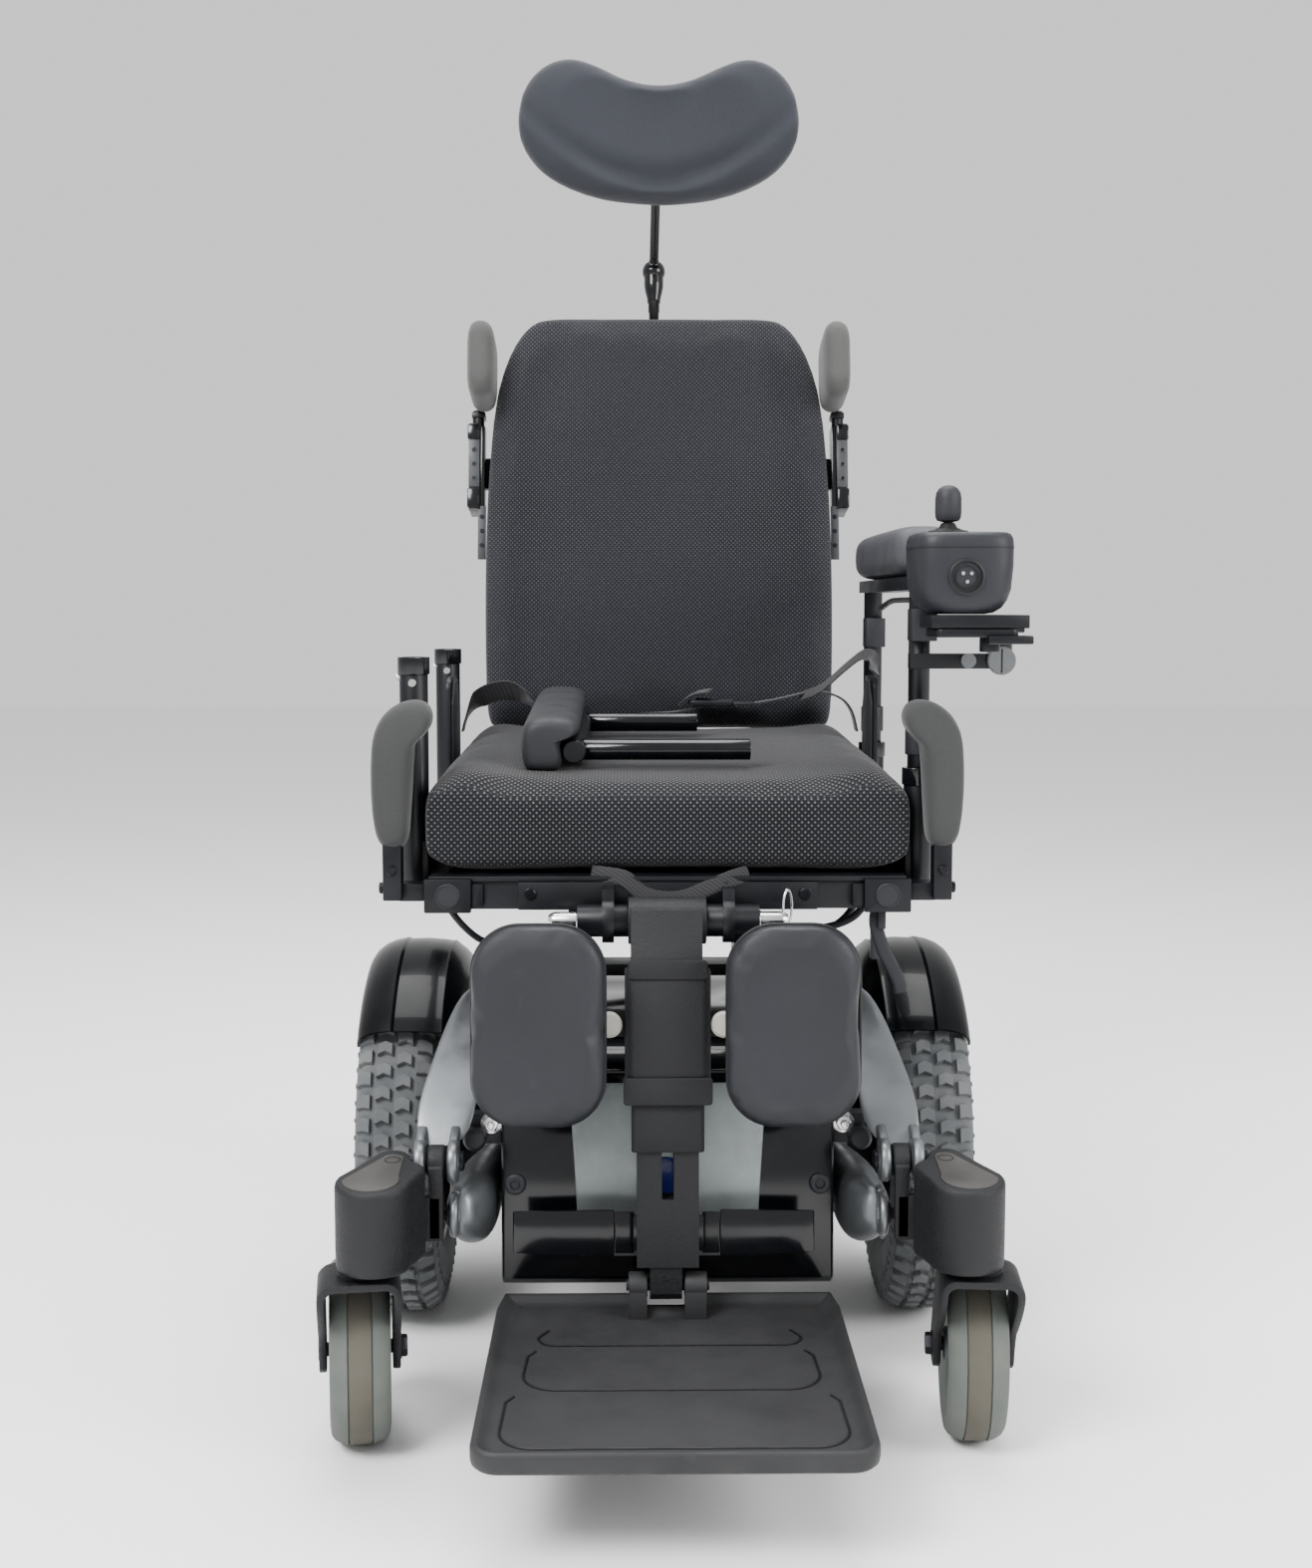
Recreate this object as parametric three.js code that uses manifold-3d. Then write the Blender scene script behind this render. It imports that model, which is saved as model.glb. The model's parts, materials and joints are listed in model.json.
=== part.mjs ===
// A mid-wheel-drive power wheelchair with a tilting seat, a reclining back and a centre-mounted
// footrest. Millimetres, +Z up. The chair faces -Y, so the user's right is -X and the left is +X.
// Sides are named as the user sees them. The right armrest is off its posts and lies on the seat.

import * as THREE from 'three';
import { mergeVertices } from 'three/addons/utils/BufferGeometryUtils.js';
import Module from 'manifold-3d';

const wasm = await Module();
wasm.setup();

// ---------------------------------------------------------------- driving dimensions

const GAP = 0.4;                 // clear space between neighbouring pieces
const RUNNING = 0.5;             // radial clearance of a shaft in its bore
const ORIGIN_SHIFT = 61;         // moves the middle of the chair's length to Y = 0

// drive wheels, 14 x 3 inch, on the axle line Y = 0
const DRIVE_R = 177;
const DRIVE_WIDTH = 76;
const DRIVE_X = 252;
const RIM_R = 112;
const DRIVE_SHAFT_R = 12;
const FENDER_R = 193;
const FENDER_WALL = 3;
const FENDER_INNER_X = 186;
const FENDER_OUTER_X = 290;
const FENDER_FRONT_ANGLE = 47;
const FENDER_REAR_ANGLE = 70;

// casters, 6 x 2 inch, front and rear
const CASTER_R = 78;
const CASTER_WIDTH = 50;
const TRAIL = 66;
const FORK_WALL = 6.5;
const CROWN_TOP = 165;
const CROWN_THICK = 7;
const CROWN_HALF_DEPTH = 31;
const STEM_R = 12;
const STEM_TOP = 205;
const CASTER_AXLE_R = 6;
const FRONT_SWIVEL = [252, -398];
const FRONT_TOE = { right: 8, left: -5 };  // degrees each front caster is turned
const REAR_SWIVEL = [165, 340];
const REAR_TRAIL = 50;

// base and suspension
const BASE_HALF_WIDTH = 144;
const BASE_FRONT_Y = -290;
const BASE_BOTTOM_Z = 116;
const COVER_SET_BACK = 12;       // the front cover leans back this far over its height
const COVER_LEAN = 3.95;
const BASE_TOP_Z = 306;
const PIVOT_R = 8;
const UPPER_REAR = [-150, 335];  // Y, Z of the arms' pivots
const UPPER_FRONT = [-338, 240];
const LOWER_REAR = [-165, 190];
const LOWER_FRONT = [-335, 193];
const REAR_ARM_PIVOT = [120, 185];
const TOWER_X = 86;
const TILT_PIVOT = [100, 415];

// seat
const RAIL_HALF_WIDTH = 208;
const RAIL_SIZE = 24;
const RAIL_BOTTOM = 444;
const RAIL_TOP = RAIL_BOTTOM + RAIL_SIZE;
const SEAT_FRONT_Y = -280;
const SEAT_REAR_Y = 250;
const CUSHION_HALF_WIDTH = 207;
const CUSHION_FRONT_Y = -277;
const CUSHION_REAR_Y = 186;
const CUSHION_BOTTOM = 474;
const POST_R = 9.5;
const POST_X = 221;
const POST_FRONT_Y = -228;
const POST_REAR_Y = 100;
const RECEIVER_TOP = 657;

// back, drawn upright and then leaned back about the foot of its front face
const BACK_FOOT = [168, 602];
const BACK_LEAN = 11;
const BACK_HEIGHT = 428;
const BACK_DROP = 20;            // the back cushion reaches this far below its foot
const BACK_CUSHION_DEPTH = 54;
const RECLINE_LOCAL = [75, -85]; // hinge line in the leaned frame: depth, height
const SWING_LOCAL = [44, 200];   // lateral support's hinge line: depth, distance from the middle
const HEADREST_POST_DEPTH = 78;

// armrest and joystick on the left
const ARM_RAIL_Z = 716;
const JOY_HINGE = [291, -230];
const JOY_STICK = [234, -295, 760];

// footrest, drawn hanging and then leaned forward about its pivot tube
const LEG_PIVOT = [-300, 437];
const LEG_LEAN = 4;
const LEG_TUBE_R = 14;
const FOOT_HINGE_LOCAL = [-12, -307];
const FOOT_SLOPE = 3.4;

const RIGHT = -1;
const LEFT = 1;
const sideName = (s) => (s === RIGHT ? 'right' : 'left');
const radians = THREE.MathUtils.degToRad;

// ---------------------------------------------------------------- materials

const finish = (color, roughness, metalness) =>
  new THREE.MeshStandardMaterial({ color, roughness, metalness });

const MATERIALS = {
  blackPaint: finish(0x17181a, 0.45, 0.5),
  glossBlack: finish(0x08090a, 0.15, 0.1),
  castAluminium: finish(0xb4b7ba, 0.4, 0.9),
  texturedBlack: finish(0x1e1f21, 0.7, 0.3),
  silverPanel: finish(0xaeb2b5, 0.4, 0.4),
  tyreRubber: finish(0x6b6e70, 0.85, 0.0),
  casterTyre: finish(0x9aa2a8, 0.6, 0.0),
  rim: finish(0x2b2c2e, 0.45, 0.6),
  spacerFabric: finish(0x232427, 0.95, 0.0),
  padFabric: finish(0x3b3f42, 0.9, 0.0),
  moulded: finish(0x26282a, 0.6, 0.0),
  webbing: finish(0x151517, 0.85, 0.0),
};

// ---------------------------------------------------------------- solids

function solid(geometry) {
  const bare = geometry.index ? geometry.clone() : geometry;
  bare.deleteAttribute('normal');
  bare.deleteAttribute('uv');
  const merged = mergeVertices(bare, 1e-4);
  return new wasm.Manifold(new wasm.Mesh({
    numProp: 3,
    vertProperties: new Float32Array(merged.attributes.position.array),
    triVerts: new Uint32Array(merged.index.array),
  }));
}

function geometryOf(body) {
  const shell = body.getMesh();
  const geometry = new THREE.BufferGeometry();
  geometry.setAttribute('position', new THREE.BufferAttribute(shell.vertProperties, 3));
  geometry.setIndex(new THREE.BufferAttribute(shell.triVerts, 1));
  return geometry;
}

const join = (...bodies) => bodies.reduce((whole, body) => whole.add(body));
const cut = (whole, ...tools) => tools.reduce((rest, tool) => rest.subtract(tool), whole);

function box(xa, xb, ya, yb, za, zb) {
  const geometry = new THREE.BoxGeometry(Math.abs(xb - xa), Math.abs(yb - ya), Math.abs(zb - za));
  return solid(geometry.translate((xa + xb) / 2, (ya + yb) / 2, (za + zb) / 2));
}

function barX(radius, xa, xb, y, z, sides = 12) {
  const geometry = new THREE.CylinderGeometry(radius, radius, Math.abs(xb - xa), sides);
  return solid(geometry.rotateZ(Math.PI / 2).translate((xa + xb) / 2, y, z));
}

function barZ(radius, za, zb, x, y, sides = 12) {
  const geometry = new THREE.CylinderGeometry(radius, radius, Math.abs(zb - za), sides);
  return solid(geometry.rotateX(Math.PI / 2).translate(x, y, (za + zb) / 2));
}

function rod(from, to, radius, sides = 12) {
  const a = new THREE.Vector3(...from);
  const b = new THREE.Vector3(...to);
  const along = b.clone().sub(a);
  const geometry = new THREE.CylinderGeometry(radius, radius, along.length(), sides);
  const turn = new THREE.Quaternion().setFromUnitVectors(new THREE.Vector3(0, 1, 0), along.normalize());
  geometry.applyQuaternion(turn);
  const middle = a.add(b).multiplyScalar(0.5);
  return solid(geometry.translate(middle.x, middle.y, middle.z));
}

function extruded(outline, depth) {
  const shape = new THREE.Shape(outline.map(([u, v]) => new THREE.Vector2(u, v)));
  return new THREE.ExtrudeGeometry(shape, { depth, bevelEnabled: false, curveSegments: 8 });
}

// plates cut from an outline: plateX takes [y, z] points, plateY [x, z] and plateZ [x, y]
function plateX(outline, xa, xb) {
  const geometry = extruded(outline, Math.abs(xb - xa));
  const turn = new THREE.Matrix4().makeBasis(
    new THREE.Vector3(0, 1, 0), new THREE.Vector3(0, 0, 1), new THREE.Vector3(1, 0, 0));
  return solid(geometry.applyMatrix4(turn).translate(Math.min(xa, xb), 0, 0));
}

function plateY(outline, ya, yb) {
  const geometry = extruded(outline, Math.abs(yb - ya));
  return solid(geometry.rotateX(Math.PI / 2).translate(0, Math.max(ya, yb), 0));
}

function plateZ(outline, za, zb) {
  return solid(extruded(outline, Math.abs(zb - za)).translate(0, 0, Math.min(za, zb)));
}

// points on part of a circle, from one angle to another in degrees
function arc(cu, cv, radius, fromAngle, toAngle, steps) {
  const at = (i) => radians(fromAngle + (toAngle - fromAngle) * i / steps);
  return Array.from({ length: steps + 1 }, (_, i) =>
    [cu + radius * Math.cos(at(i)), cv + radius * Math.sin(at(i))]);
}

function roundedRect(u0, u1, v0, v1, radius, steps = 4) {
  return [
    ...arc(u1 - radius, v0 + radius, radius, -90, 0, steps),
    ...arc(u1 - radius, v1 - radius, radius, 0, 90, steps),
    ...arc(u0 + radius, v1 - radius, radius, 90, 180, steps),
    ...arc(u0 + radius, v0 + radius, radius, 180, 270, steps),
  ];
}

// a closed skin over rings of points, each ring with the same number of points
function loft(rings) {
  const count = rings[0].length;
  const centre = (ring) => ring.reduce((sum, p) => sum.add(p), new THREE.Vector3())
    .multiplyScalar(1 / count);
  const points = [...rings.flat(), centre(rings[0]), centre(rings[rings.length - 1])];
  const first = rings.length * count;
  const faces = [];
  for (let i = 0; i < count; i += 1) {
    const j = (i + 1) % count;
    for (let k = 0; k + 1 < rings.length; k += 1) {
      const a = k * count;
      const b = a + count;
      faces.push([a + i, a + j, b + j], [a + i, b + j, b + i]);
    }
    const last = (rings.length - 1) * count;
    faces.push([first, j, i], [first + 1, last + i, last + j]);
  }
  let volume = 0;
  faces.forEach(([a, b, c]) => {
    volume += points[a].dot(new THREE.Vector3().crossVectors(points[b], points[c]));
  });
  const ordered = volume > 0 ? faces : faces.map(([a, b, c]) => [a, c, b]);
  const geometry = new THREE.BufferGeometry().setFromPoints(points);
  geometry.setIndex(ordered.flat());
  return solid(geometry);
}

// a ring of points shaped between a box and an ellipse, spanned by two half-axes
function ring(centre, halfU, halfV, count = 12, squareness = 4) {
  const shape = (value) => Math.sign(value) * Math.abs(value) ** (2 / squareness);
  return Array.from({ length: count }, (_, i) => {
    const angle = 2 * Math.PI * (i + 0.5) / count;
    return new THREE.Vector3(...centre)
      .addScaledVector(new THREE.Vector3(...halfU), shape(Math.cos(angle)))
      .addScaledVector(new THREE.Vector3(...halfV), shape(Math.sin(angle)));
  });
}

// a ring of revolution about an axis along X through (y, z), from a closed [radius, x] profile
function revolvedX(profile, y, z, segments) {
  const points = profile.map(([radius, x]) => new THREE.Vector2(radius, x));
  const outward = THREE.ShapeUtils.isClockWise(points) ? points.reverse() : points;
  const closed = [...outward, outward[0]];
  const geometry = new THREE.LatheGeometry(closed, segments);
  return solid(geometry.rotateZ(-Math.PI / 2).translate(0, y, z));
}

// ---------------------------------------------------------------- scene graph

const chair = new THREE.Group();
chair.position.y = ORIGIN_SHIFT;

function add(name, material, body, parent = chair) {
  const mesh = new THREE.Mesh(geometryOf(body), material);
  mesh.name = name;
  parent.add(mesh);
  return mesh;
}

// a group whose own origin is a point, turned about X so that +Z leans by an angle
function leaned(y, z, angle, parent = chair) {
  const group = new THREE.Group();
  group.position.set(0, y, z);
  group.rotation.x = radians(angle);
  parent.add(group);
  return group;
}

// ---------------------------------------------------------------- base

function baseFrame() {
  const floor = box(-126, 126, -255, 195, 122, 134);
  const crossBar = box(-140, 140, -195, -105, 122, 134);
  let frame = join(floor, crossBar);
  [RIGHT, LEFT].forEach((s) => {
    const armPlate = plateX([[-195, 124], [-105, 124], [-128, 352], [-172, 352]], s * 128, s * 140);
    const upperPin = barX(PIVOT_R, s * 134, s * 170, ...UPPER_REAR);
    const lowerPin = barX(PIVOT_R, s * 134, s * 170, ...LOWER_REAR);
    const motorPlate = box(s * 118, s * 134, -60, 60, 122, 235);
    const rearPlate = box(s * 118, s * 130, 95, 145, 122, 208);
    const rearPin = barX(PIVOT_R, s * 124, s * 158, ...REAR_ARM_PIVOT);
    const [ty, tz] = TILT_PIVOT;
    const tower = box(s * (TOWER_X - 10), s * (TOWER_X + 10), ty - 30, ty + 30, 130, tz);
    const towerTop = barX(30, s * (TOWER_X - 10), s * (TOWER_X + 10), ty, tz - 6, 16);
    const bore = barX(PIVOT_R + RUNNING, s * (TOWER_X - 12), s * (TOWER_X + 12), ty, tz);
    frame = join(frame, armPlate, upperPin, lowerPin, motorPlate, rearPlate, rearPin);
    frame = cut(join(frame, tower, towerTop), bore);
  });
  const brace = box(-TOWER_X, TOWER_X, 78, 122, 318, 330);
  return join(frame, brace);
}

function frontCover() {
  const wall = 4;
  const y0 = BASE_FRONT_Y;
  const w = BASE_HALF_WIDTH;
  const outer = [[y0 + 4, BASE_BOTTOM_Z], [-198, BASE_BOTTOM_Z], [-198, BASE_TOP_Z],
    [y0 + 22, BASE_TOP_Z], [y0 + COVER_SET_BACK, BASE_TOP_Z - 8], [y0, BASE_BOTTOM_Z + 8]];
  const inner = [[y0 + wall + 4, BASE_BOTTOM_Z + 3], [-190, BASE_BOTTOM_Z + 3],
    [-190, BASE_TOP_Z - wall], [y0 + 24, BASE_TOP_Z - wall], [y0 + COVER_SET_BACK + wall, BASE_TOP_Z - 12],
    [y0 + wall, BASE_BOTTOM_Z + 10]];
  return cut(plateX(outer, -w, w), plateX(inner, -w + wall, w - wall));
}

function frontPanel() {
  const outline = [[-76, -150], [76, -150], [84, -20], [82, 0], [-82, 0], [-84, -20]];
  return plateY(outline, -3, 0);
}

function rearCover() {
  const outer = box(-114, 114, -96, 202, 136, 300);
  const inner = box(-110, 110, -110, 198, 130, 296);
  const slots = [RIGHT, LEFT].map((s) =>
    box(s * (TOWER_X - 12), s * (TOWER_X + 12), 68, 132, 280, 310));
  return cut(outer, inner, ...slots);
}

function motor(s) {
  const can = barX(50, s * 134.4, s * 205, 0, DRIVE_R, 20);
  const shaft = barX(DRIVE_SHAFT_R, s * 200, s * 262, 0, DRIVE_R, 12);
  return join(can, shaft);
}

function fender(s) {
  const turn = (angle) => 90 + angle;
  const band = (outerR, innerR) => [
    ...arc(0, DRIVE_R, outerR, turn(FENDER_FRONT_ANGLE), turn(-FENDER_REAR_ANGLE), 12),
    ...arc(0, DRIVE_R, innerR, turn(-FENDER_REAR_ANGLE), turn(FENDER_FRONT_ANGLE), 12),
  ];
  const skin = plateX(band(FENDER_R, FENDER_R - FENDER_WALL), s * FENDER_INNER_X, s * FENDER_OUTER_X);
  const skirt = plateX(band(FENDER_R - 1, FENDER_R - 30), s * FENDER_INNER_X, s * (FENDER_INNER_X + 3));
  const strut = box(s * 172, s * (FENDER_INNER_X + 3), -16, 16, DRIVE_R + 50 + GAP, DRIVE_R + 175);
  return join(skin, skirt, strut);
}

function driveTyre(s) {
  const half = DRIVE_WIDTH / 2;
  const profile = [[RIM_R + GAP, -half + 8], [RIM_R + 20, -half], [DRIVE_R - 20, -half],
    [DRIVE_R, -half + 14], [DRIVE_R, half - 14], [DRIVE_R - 20, half], [RIM_R + 20, half],
    [RIM_R + GAP, half - 8]];
  return revolvedX(profile.map(([r, x]) => [r, x + s * DRIVE_X]), 0, DRIVE_R, 28);
}

function driveRim(s) {
  const half = DRIVE_WIDTH / 2 - 6;
  const bore = DRIVE_SHAFT_R + RUNNING;
  const profile = [[bore, -24], [37, -24], [38, -6], [RIM_R - 12, -6], [RIM_R - 6, -half],
    [RIM_R, -half], [RIM_R, half], [RIM_R - 6, half], [38, 18], [bore, 18]];
  return revolvedX(profile.map(([r, x]) => [r, s * (x + DRIVE_X)]), 0, DRIVE_R, 28);
}

// ---------------------------------------------------------------- front suspension and casters

function upperArm(s) {
  const [ry, rz] = UPPER_REAR;
  const [fy, fz] = UPPER_FRONT;
  const eye = barX(17, s * 146, s * 168, ry, rz, 14);
  const beam = loft([
    ring([s * 157, ry + 2, rz], [9, 0, 0], [0, -5, 14]),
    ring([s * 170, -200, 344], [12, 0, 0], [0, 8, 17]),
    ring([s * 179, -245, 324], [15, 0, 0], [0, 11, 17]),
    ring([s * 185, -283, 294], [20, 0, 0], [0, 12, 16]),
    ring([s * 190, -308, 268], [22, 0, 0], [0, 11, 14]),
    ring([s * 194, -317, 257], [18, 0, 0], [0, 5, 8]),
  ]);
  const ears = [[176, 186 - GAP], [202 + GAP, 212]].map(([a, b]) => join(
    barX(17, s * a, s * b, fy, fz), box(s * a, s * b, fy, -310, fz - 4, fz + 17)));
  return cut(join(eye, beam, ...ears), barX(PIVOT_R + RUNNING, s * 140, s * 172, ry, rz),
    barX(5 + RUNNING, s * 170, s * 216, fy, fz, 12));
}

function lowerArm(s) {
  const [ry, rz] = LOWER_REAR;
  const [fy, fz] = LOWER_FRONT;
  const eye = barX(20, s * 146, s * 168, ry, rz, 14);
  const beam = loft([
    ring([s * 157, ry, rz], [9, 0, 0], [0, 0, 18]),
    ring([s * 163, -210, 184], [15, 0, 0], [0, 2, 29]),
    ring([s * 168, -262, 183], [20, 0, 0], [0, 4, 33]),
    ring([s * 169, -296, 187], [19, 0, 0], [0, 6, 29]),
    ring([s * 172, -316, 197], [12, 0, 0], [0, 6, 18]),
    ring([s * 173, fy + 6, fz], [6, 0, 0], [0, 4, 13]),
  ]);
  const tongue = barX(13, s * 167, s * 179, fy, fz);
  return cut(join(eye, beam, tongue), barX(PIVOT_R + RUNNING, s * 140, s * 172, ry, rz));
}

function casterHousing(s) {
  const top = 251;
  const drop = 240;
  const outline = [
    ...arc(239, -402, 31, -175, 15, 10),
    ...arc(230, -349, 14, 30, 160, 6),
    [213, -356.5],
    ...arc(217, -377, 17, 150, 185, 3),
  ].map(([x, y]) => [s * x, y]);
  const block = plateZ(outline, 170, top);
  const slope = plateX([[-440, drop], [-320, top + 1], [-320, top + 20], [-440, top + 20]],
    s * 190, s * 290);
  const lug = join(box(s * 186, s * 202, -352, -326, 178, UPPER_FRONT[1]),
    barX(14, s * 186, s * 202, ...UPPER_FRONT), box(s * 186, s * 220, -352, -338, 178, 216));
  const pin = barX(5, s * 177, s * 211, ...UPPER_FRONT, 12);
  const bore = barZ(STEM_R + RUNNING, 160, STEM_TOP + 4, s * FRONT_SWIVEL[0], FRONT_SWIVEL[1]);
  return cut(join(cut(block, slope), lug, pin), bore);
}

// a fork and its wheel, drawn with the swivel axis at the group's origin and the wheel behind it
function fork(trail, s) {
  const inner = CASTER_WIDTH / 2 + 2.5;
  const outer = inner + FORK_WALL;
  const d = CROWN_HALF_DEPTH;
  const crown = plateZ(roundedRect(-outer, outer, -d, d, 10, 2), CROWN_TOP - CROWN_THICK, CROWN_TOP);
  const leg = [[-d + 4, CROWN_TOP - 2], [d, CROWN_TOP - 2], [trail + 15, CASTER_R + 10],
    ...arc(trail, CASTER_R, 18, 20, -150, 6), [trail - 32, CASTER_R + 20], [-d + 4, CROWN_TOP - 24]];
  const legs = [[-outer, -inner], [inner, outer]].map(([a, b]) => plateX(leg, a, b));
  const stem = barZ(STEM_R, CROWN_TOP - 2, STEM_TOP, 0, 0, 12);
  const collar = barZ(STEM_R + 6, CROWN_TOP - 2, 169, 0, 0);
  const axle = barX(CASTER_AXLE_R, -s * (outer + 6), s * (outer + 0.5), trail, CASTER_R, 12);
  return join(crown, ...legs, stem, collar, axle);
}

function casterWheel(trail) {
  const half = CASTER_WIDTH / 2;
  const bore = CASTER_AXLE_R + RUNNING;
  const profile = [[bore, -half], [24, -half], [40, -half + 7], [66, -half], [CASTER_R, -half + 14],
    [CASTER_R, half - 14], [66, half], [40, half - 7], [24, half], [bore, half]];
  return revolvedX(profile, trail, CASTER_R, 20);
}

function addCaster(prefix, s, [x, y], trail, toe) {
  const group = new THREE.Group();
  group.position.set(s * x, y, 0);
  group.rotation.z = radians(toe);
  chair.add(group);
  add(`${prefix}_fork_${sideName(s)}`, MATERIALS.texturedBlack, fork(trail, s), group);
  add(`${prefix}_caster_${sideName(s)}`, MATERIALS.casterTyre, casterWheel(trail), group);
}

function rearArm(s) {
  const [ry, rz] = REAR_ARM_PIVOT;
  const [sx, sy] = REAR_SWIVEL;
  const eye = barX(20, s * 134, s * 156, ry, rz);
  const beam = loft([
    ring([s * 145, ry, rz], [11, 0, 0], [0, 0, 18]),
    ring([s * 150, 190, 190], [14, 0, 0], [0, 0, 20]),
    ring([s * 158, 260, 196], [16, 0, 0], [0, 0, 20]),
    ring([s * sx, sy - 10, 195], [18, 0, 0], [0, 0, 20]),
  ]);
  const housing = barZ(27, 172, 222, s * sx, sy, 16);
  return cut(join(eye, beam, housing), barX(PIVOT_R + RUNNING, s * 130, s * 160, ry, rz),
    barZ(STEM_R + RUNNING, 160, STEM_TOP + 4, s * sx, sy));
}

// ---------------------------------------------------------------- seat

function seatFrame() {
  const w = RAIL_HALF_WIDTH;
  const inside = w - RAIL_SIZE;
  const outer = box(-w, w, SEAT_FRONT_Y, SEAT_REAR_Y - 20, RAIL_BOTTOM, RAIL_TOP);
  const hollow = box(-inside, inside, SEAT_FRONT_Y + RAIL_SIZE, SEAT_REAR_Y - 44,
    RAIL_BOTTOM - 5, RAIL_TOP + 5);
  const pan = box(-inside - 6, inside + 6, SEAT_FRONT_Y + 4, SEAT_REAR_Y - 24, RAIL_TOP - 4, RAIL_TOP + 3);
  let frame = join(cut(outer, hollow), pan);
  const [ty, tz] = TILT_PIVOT;
  const [hy, hz] = reclineHinge();
  [RIGHT, LEFT].forEach((s) => {
    const lug = join(box(s * 102, s * 114, ty - 26, ty + 26, tz, RAIL_TOP),
      barX(22, s * 102, s * 114, ty, tz));
    const tiltPin = barX(PIVOT_R, s * 74, s * 106, ty, tz);
    const upright = box(s * 186, s * 198, hy - 20, hy + 20, RAIL_BOTTOM, hz);
    const head = barX(20, s * 186, s * 198, hy, hz);
    const reclinePin = barX(PIVOT_R, s * 158, s * 190, hy, hz);
    const legBracket = join(box(s * 46, s * 56, LEG_PIVOT[0] - 4, SEAT_FRONT_Y + 12, 428, RAIL_TOP - 4),
      barX(19, s * 46, s * 56, ...LEG_PIVOT));
    frame = join(frame, lug, tiltPin, upright, head, reclinePin, legBracket);
  });
  const legTube = barX(LEG_TUBE_R, -77, 77, ...LEG_PIVOT, 16);
  const legPins = barX(6, -92, 92, ...LEG_PIVOT, 12);
  return join(frame, legTube, legPins);
}

function cushionTop(y) {
  const t = (y - CUSHION_FRONT_Y) / (CUSHION_REAR_Y - CUSHION_FRONT_Y);
  return 549 + 24 * t;
}

function seatCushion() {
  const stations = [[0, 0.985, 0.86], [12, 1, 0.98], [40, 1, 1], [160, 1, 1], [300, 1, 1], [430, 0.99, 1],
    [463, 0.95, 0.9]];
  return loft(stations.map(([along, wide, tall]) => {
    const y = CUSHION_FRONT_Y + along;
    const height = (cushionTop(y) - CUSHION_BOTTOM) * tall;
    const middle = CUSHION_BOTTOM + height / 2;
    return ring([0, y, middle], [CUSHION_HALF_WIDTH * wide, 0, 0], [0, 0, height / 2], 20, 9);
  }));
}

function thighSupport(s) {
  const outline = [[205, 625], [225, 624], [243, 612], [253, 586], [254, 545], [250, 505], [242, 493],
    [228, 493], [221, 505], [220, 552], [219, 575], [214, 590], [203, 597], [198, 610]]
    .map(([x, z]) => [s * x, z]);
  const pad = plateY(outline, -296, -252);
  const bracket = box(s * 226, s * 244, -288, -266, 452, 500);
  const foot = box(s * (RAIL_HALF_WIDTH + GAP), s * 230, -280, -256, 450, 466);
  return join(pad, bracket, foot);
}

function armReceiver(s) {
  const plate = box(s * (RAIL_HALF_WIDTH + GAP), s * 213, -246, 122, RAIL_BOTTOM + 2, RAIL_TOP + 30);
  const guard = plateX(roundedRect(-8, 70, RAIL_TOP + 20, 632, 12, 3), s * 209, s * 213);
  const top = s === RIGHT ? RECEIVER_TOP : 560;
  const tubes = [POST_FRONT_Y, POST_REAR_Y].map((y) =>
    barZ(POST_R + 3, RAIL_BOTTOM + 2, top, s * POST_X, y, 14));
  const bores = [POST_FRONT_Y, POST_REAR_Y].map((y) =>
    barZ(POST_R + RUNNING, RAIL_BOTTOM + 12, top + 5, s * POST_X, y, 14));
  return cut(join(plate, guard, ...tubes), ...bores);
}

// webbing that leaves the seat on both sides, lies across the back of the cushion and is buckled
function lapBelt() {
  const y = 142;
  const route = [[-211, 570], [-205, 592], [-187, 609], [-163, 614], [-144, 606], [-128, 594], [-100, 588],
    [-40, 588], [20, 590], [44, 597], [88, 596], [110, 599], [140, 606], [170, 611], [194, 604],
    [207, 590], [211, 568]];
  return loft(route.map(([x, z], i) => {
    const before = route[Math.max(i - 1, 0)];
    const after = route[Math.min(i + 1, route.length - 1)];
    const slope = new THREE.Vector2(after[0] - before[0], after[1] - before[1]).normalize();
    const thick = x > 30 && x < 100 ? 6 : 1.6;
    const twist = radians(60) * THREE.MathUtils.smoothstep(-x, 128, 170);
    const normal = new THREE.Vector3(-slope.y, 0, slope.x);
    const width = new THREE.Vector3(0, Math.cos(twist), 0).addScaledVector(normal, Math.sin(twist));
    const face = new THREE.Vector3(0, -Math.sin(twist), 0).addScaledVector(normal, Math.cos(twist));
    return ring([x, y, z], width.multiplyScalar(12), face.multiplyScalar(thick), 8, 8);
  }));
}

// ---------------------------------------------------------------- back

function reclineHinge() {
  const angle = radians(BACK_LEAN);
  const [depth, height] = RECLINE_LOCAL;
  return [BACK_FOOT[0] + depth * Math.cos(angle) + height * Math.sin(angle),
    BACK_FOOT[1] - depth * Math.sin(angle) + height * Math.cos(angle)];
}

// half the back's width at a height above its foot
function backHalfWidth(h) {
  const stations = [[0, 180], [100, 189], [250, 187], [350, 176], [400, 156], [428, 128]];
  const after = Math.max(1, stations.findIndex(([height]) => height >= h));
  const [h0, w0] = stations[after - 1];
  const [h1, w1] = stations[after];
  return w0 + (w1 - w0) * (h - h0) / (h1 - h0);
}

function backCushion() {
  const d = BACK_CUSHION_DEPTH;
  const heights = [[-BACK_DROP, 0.7], [-BACK_DROP + 14, 1], [100, 1], [250, 1], [330, 1], [380, 1],
    [BACK_HEIGHT - 14, 0.95], [BACK_HEIGHT, 0.6]];
  return loft(heights.map(([h, thick]) =>
    ring([0, d / 2, h], [backHalfWidth(h), 0, 0], [0, d * thick / 2, 0], 20, 6)));
}

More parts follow.
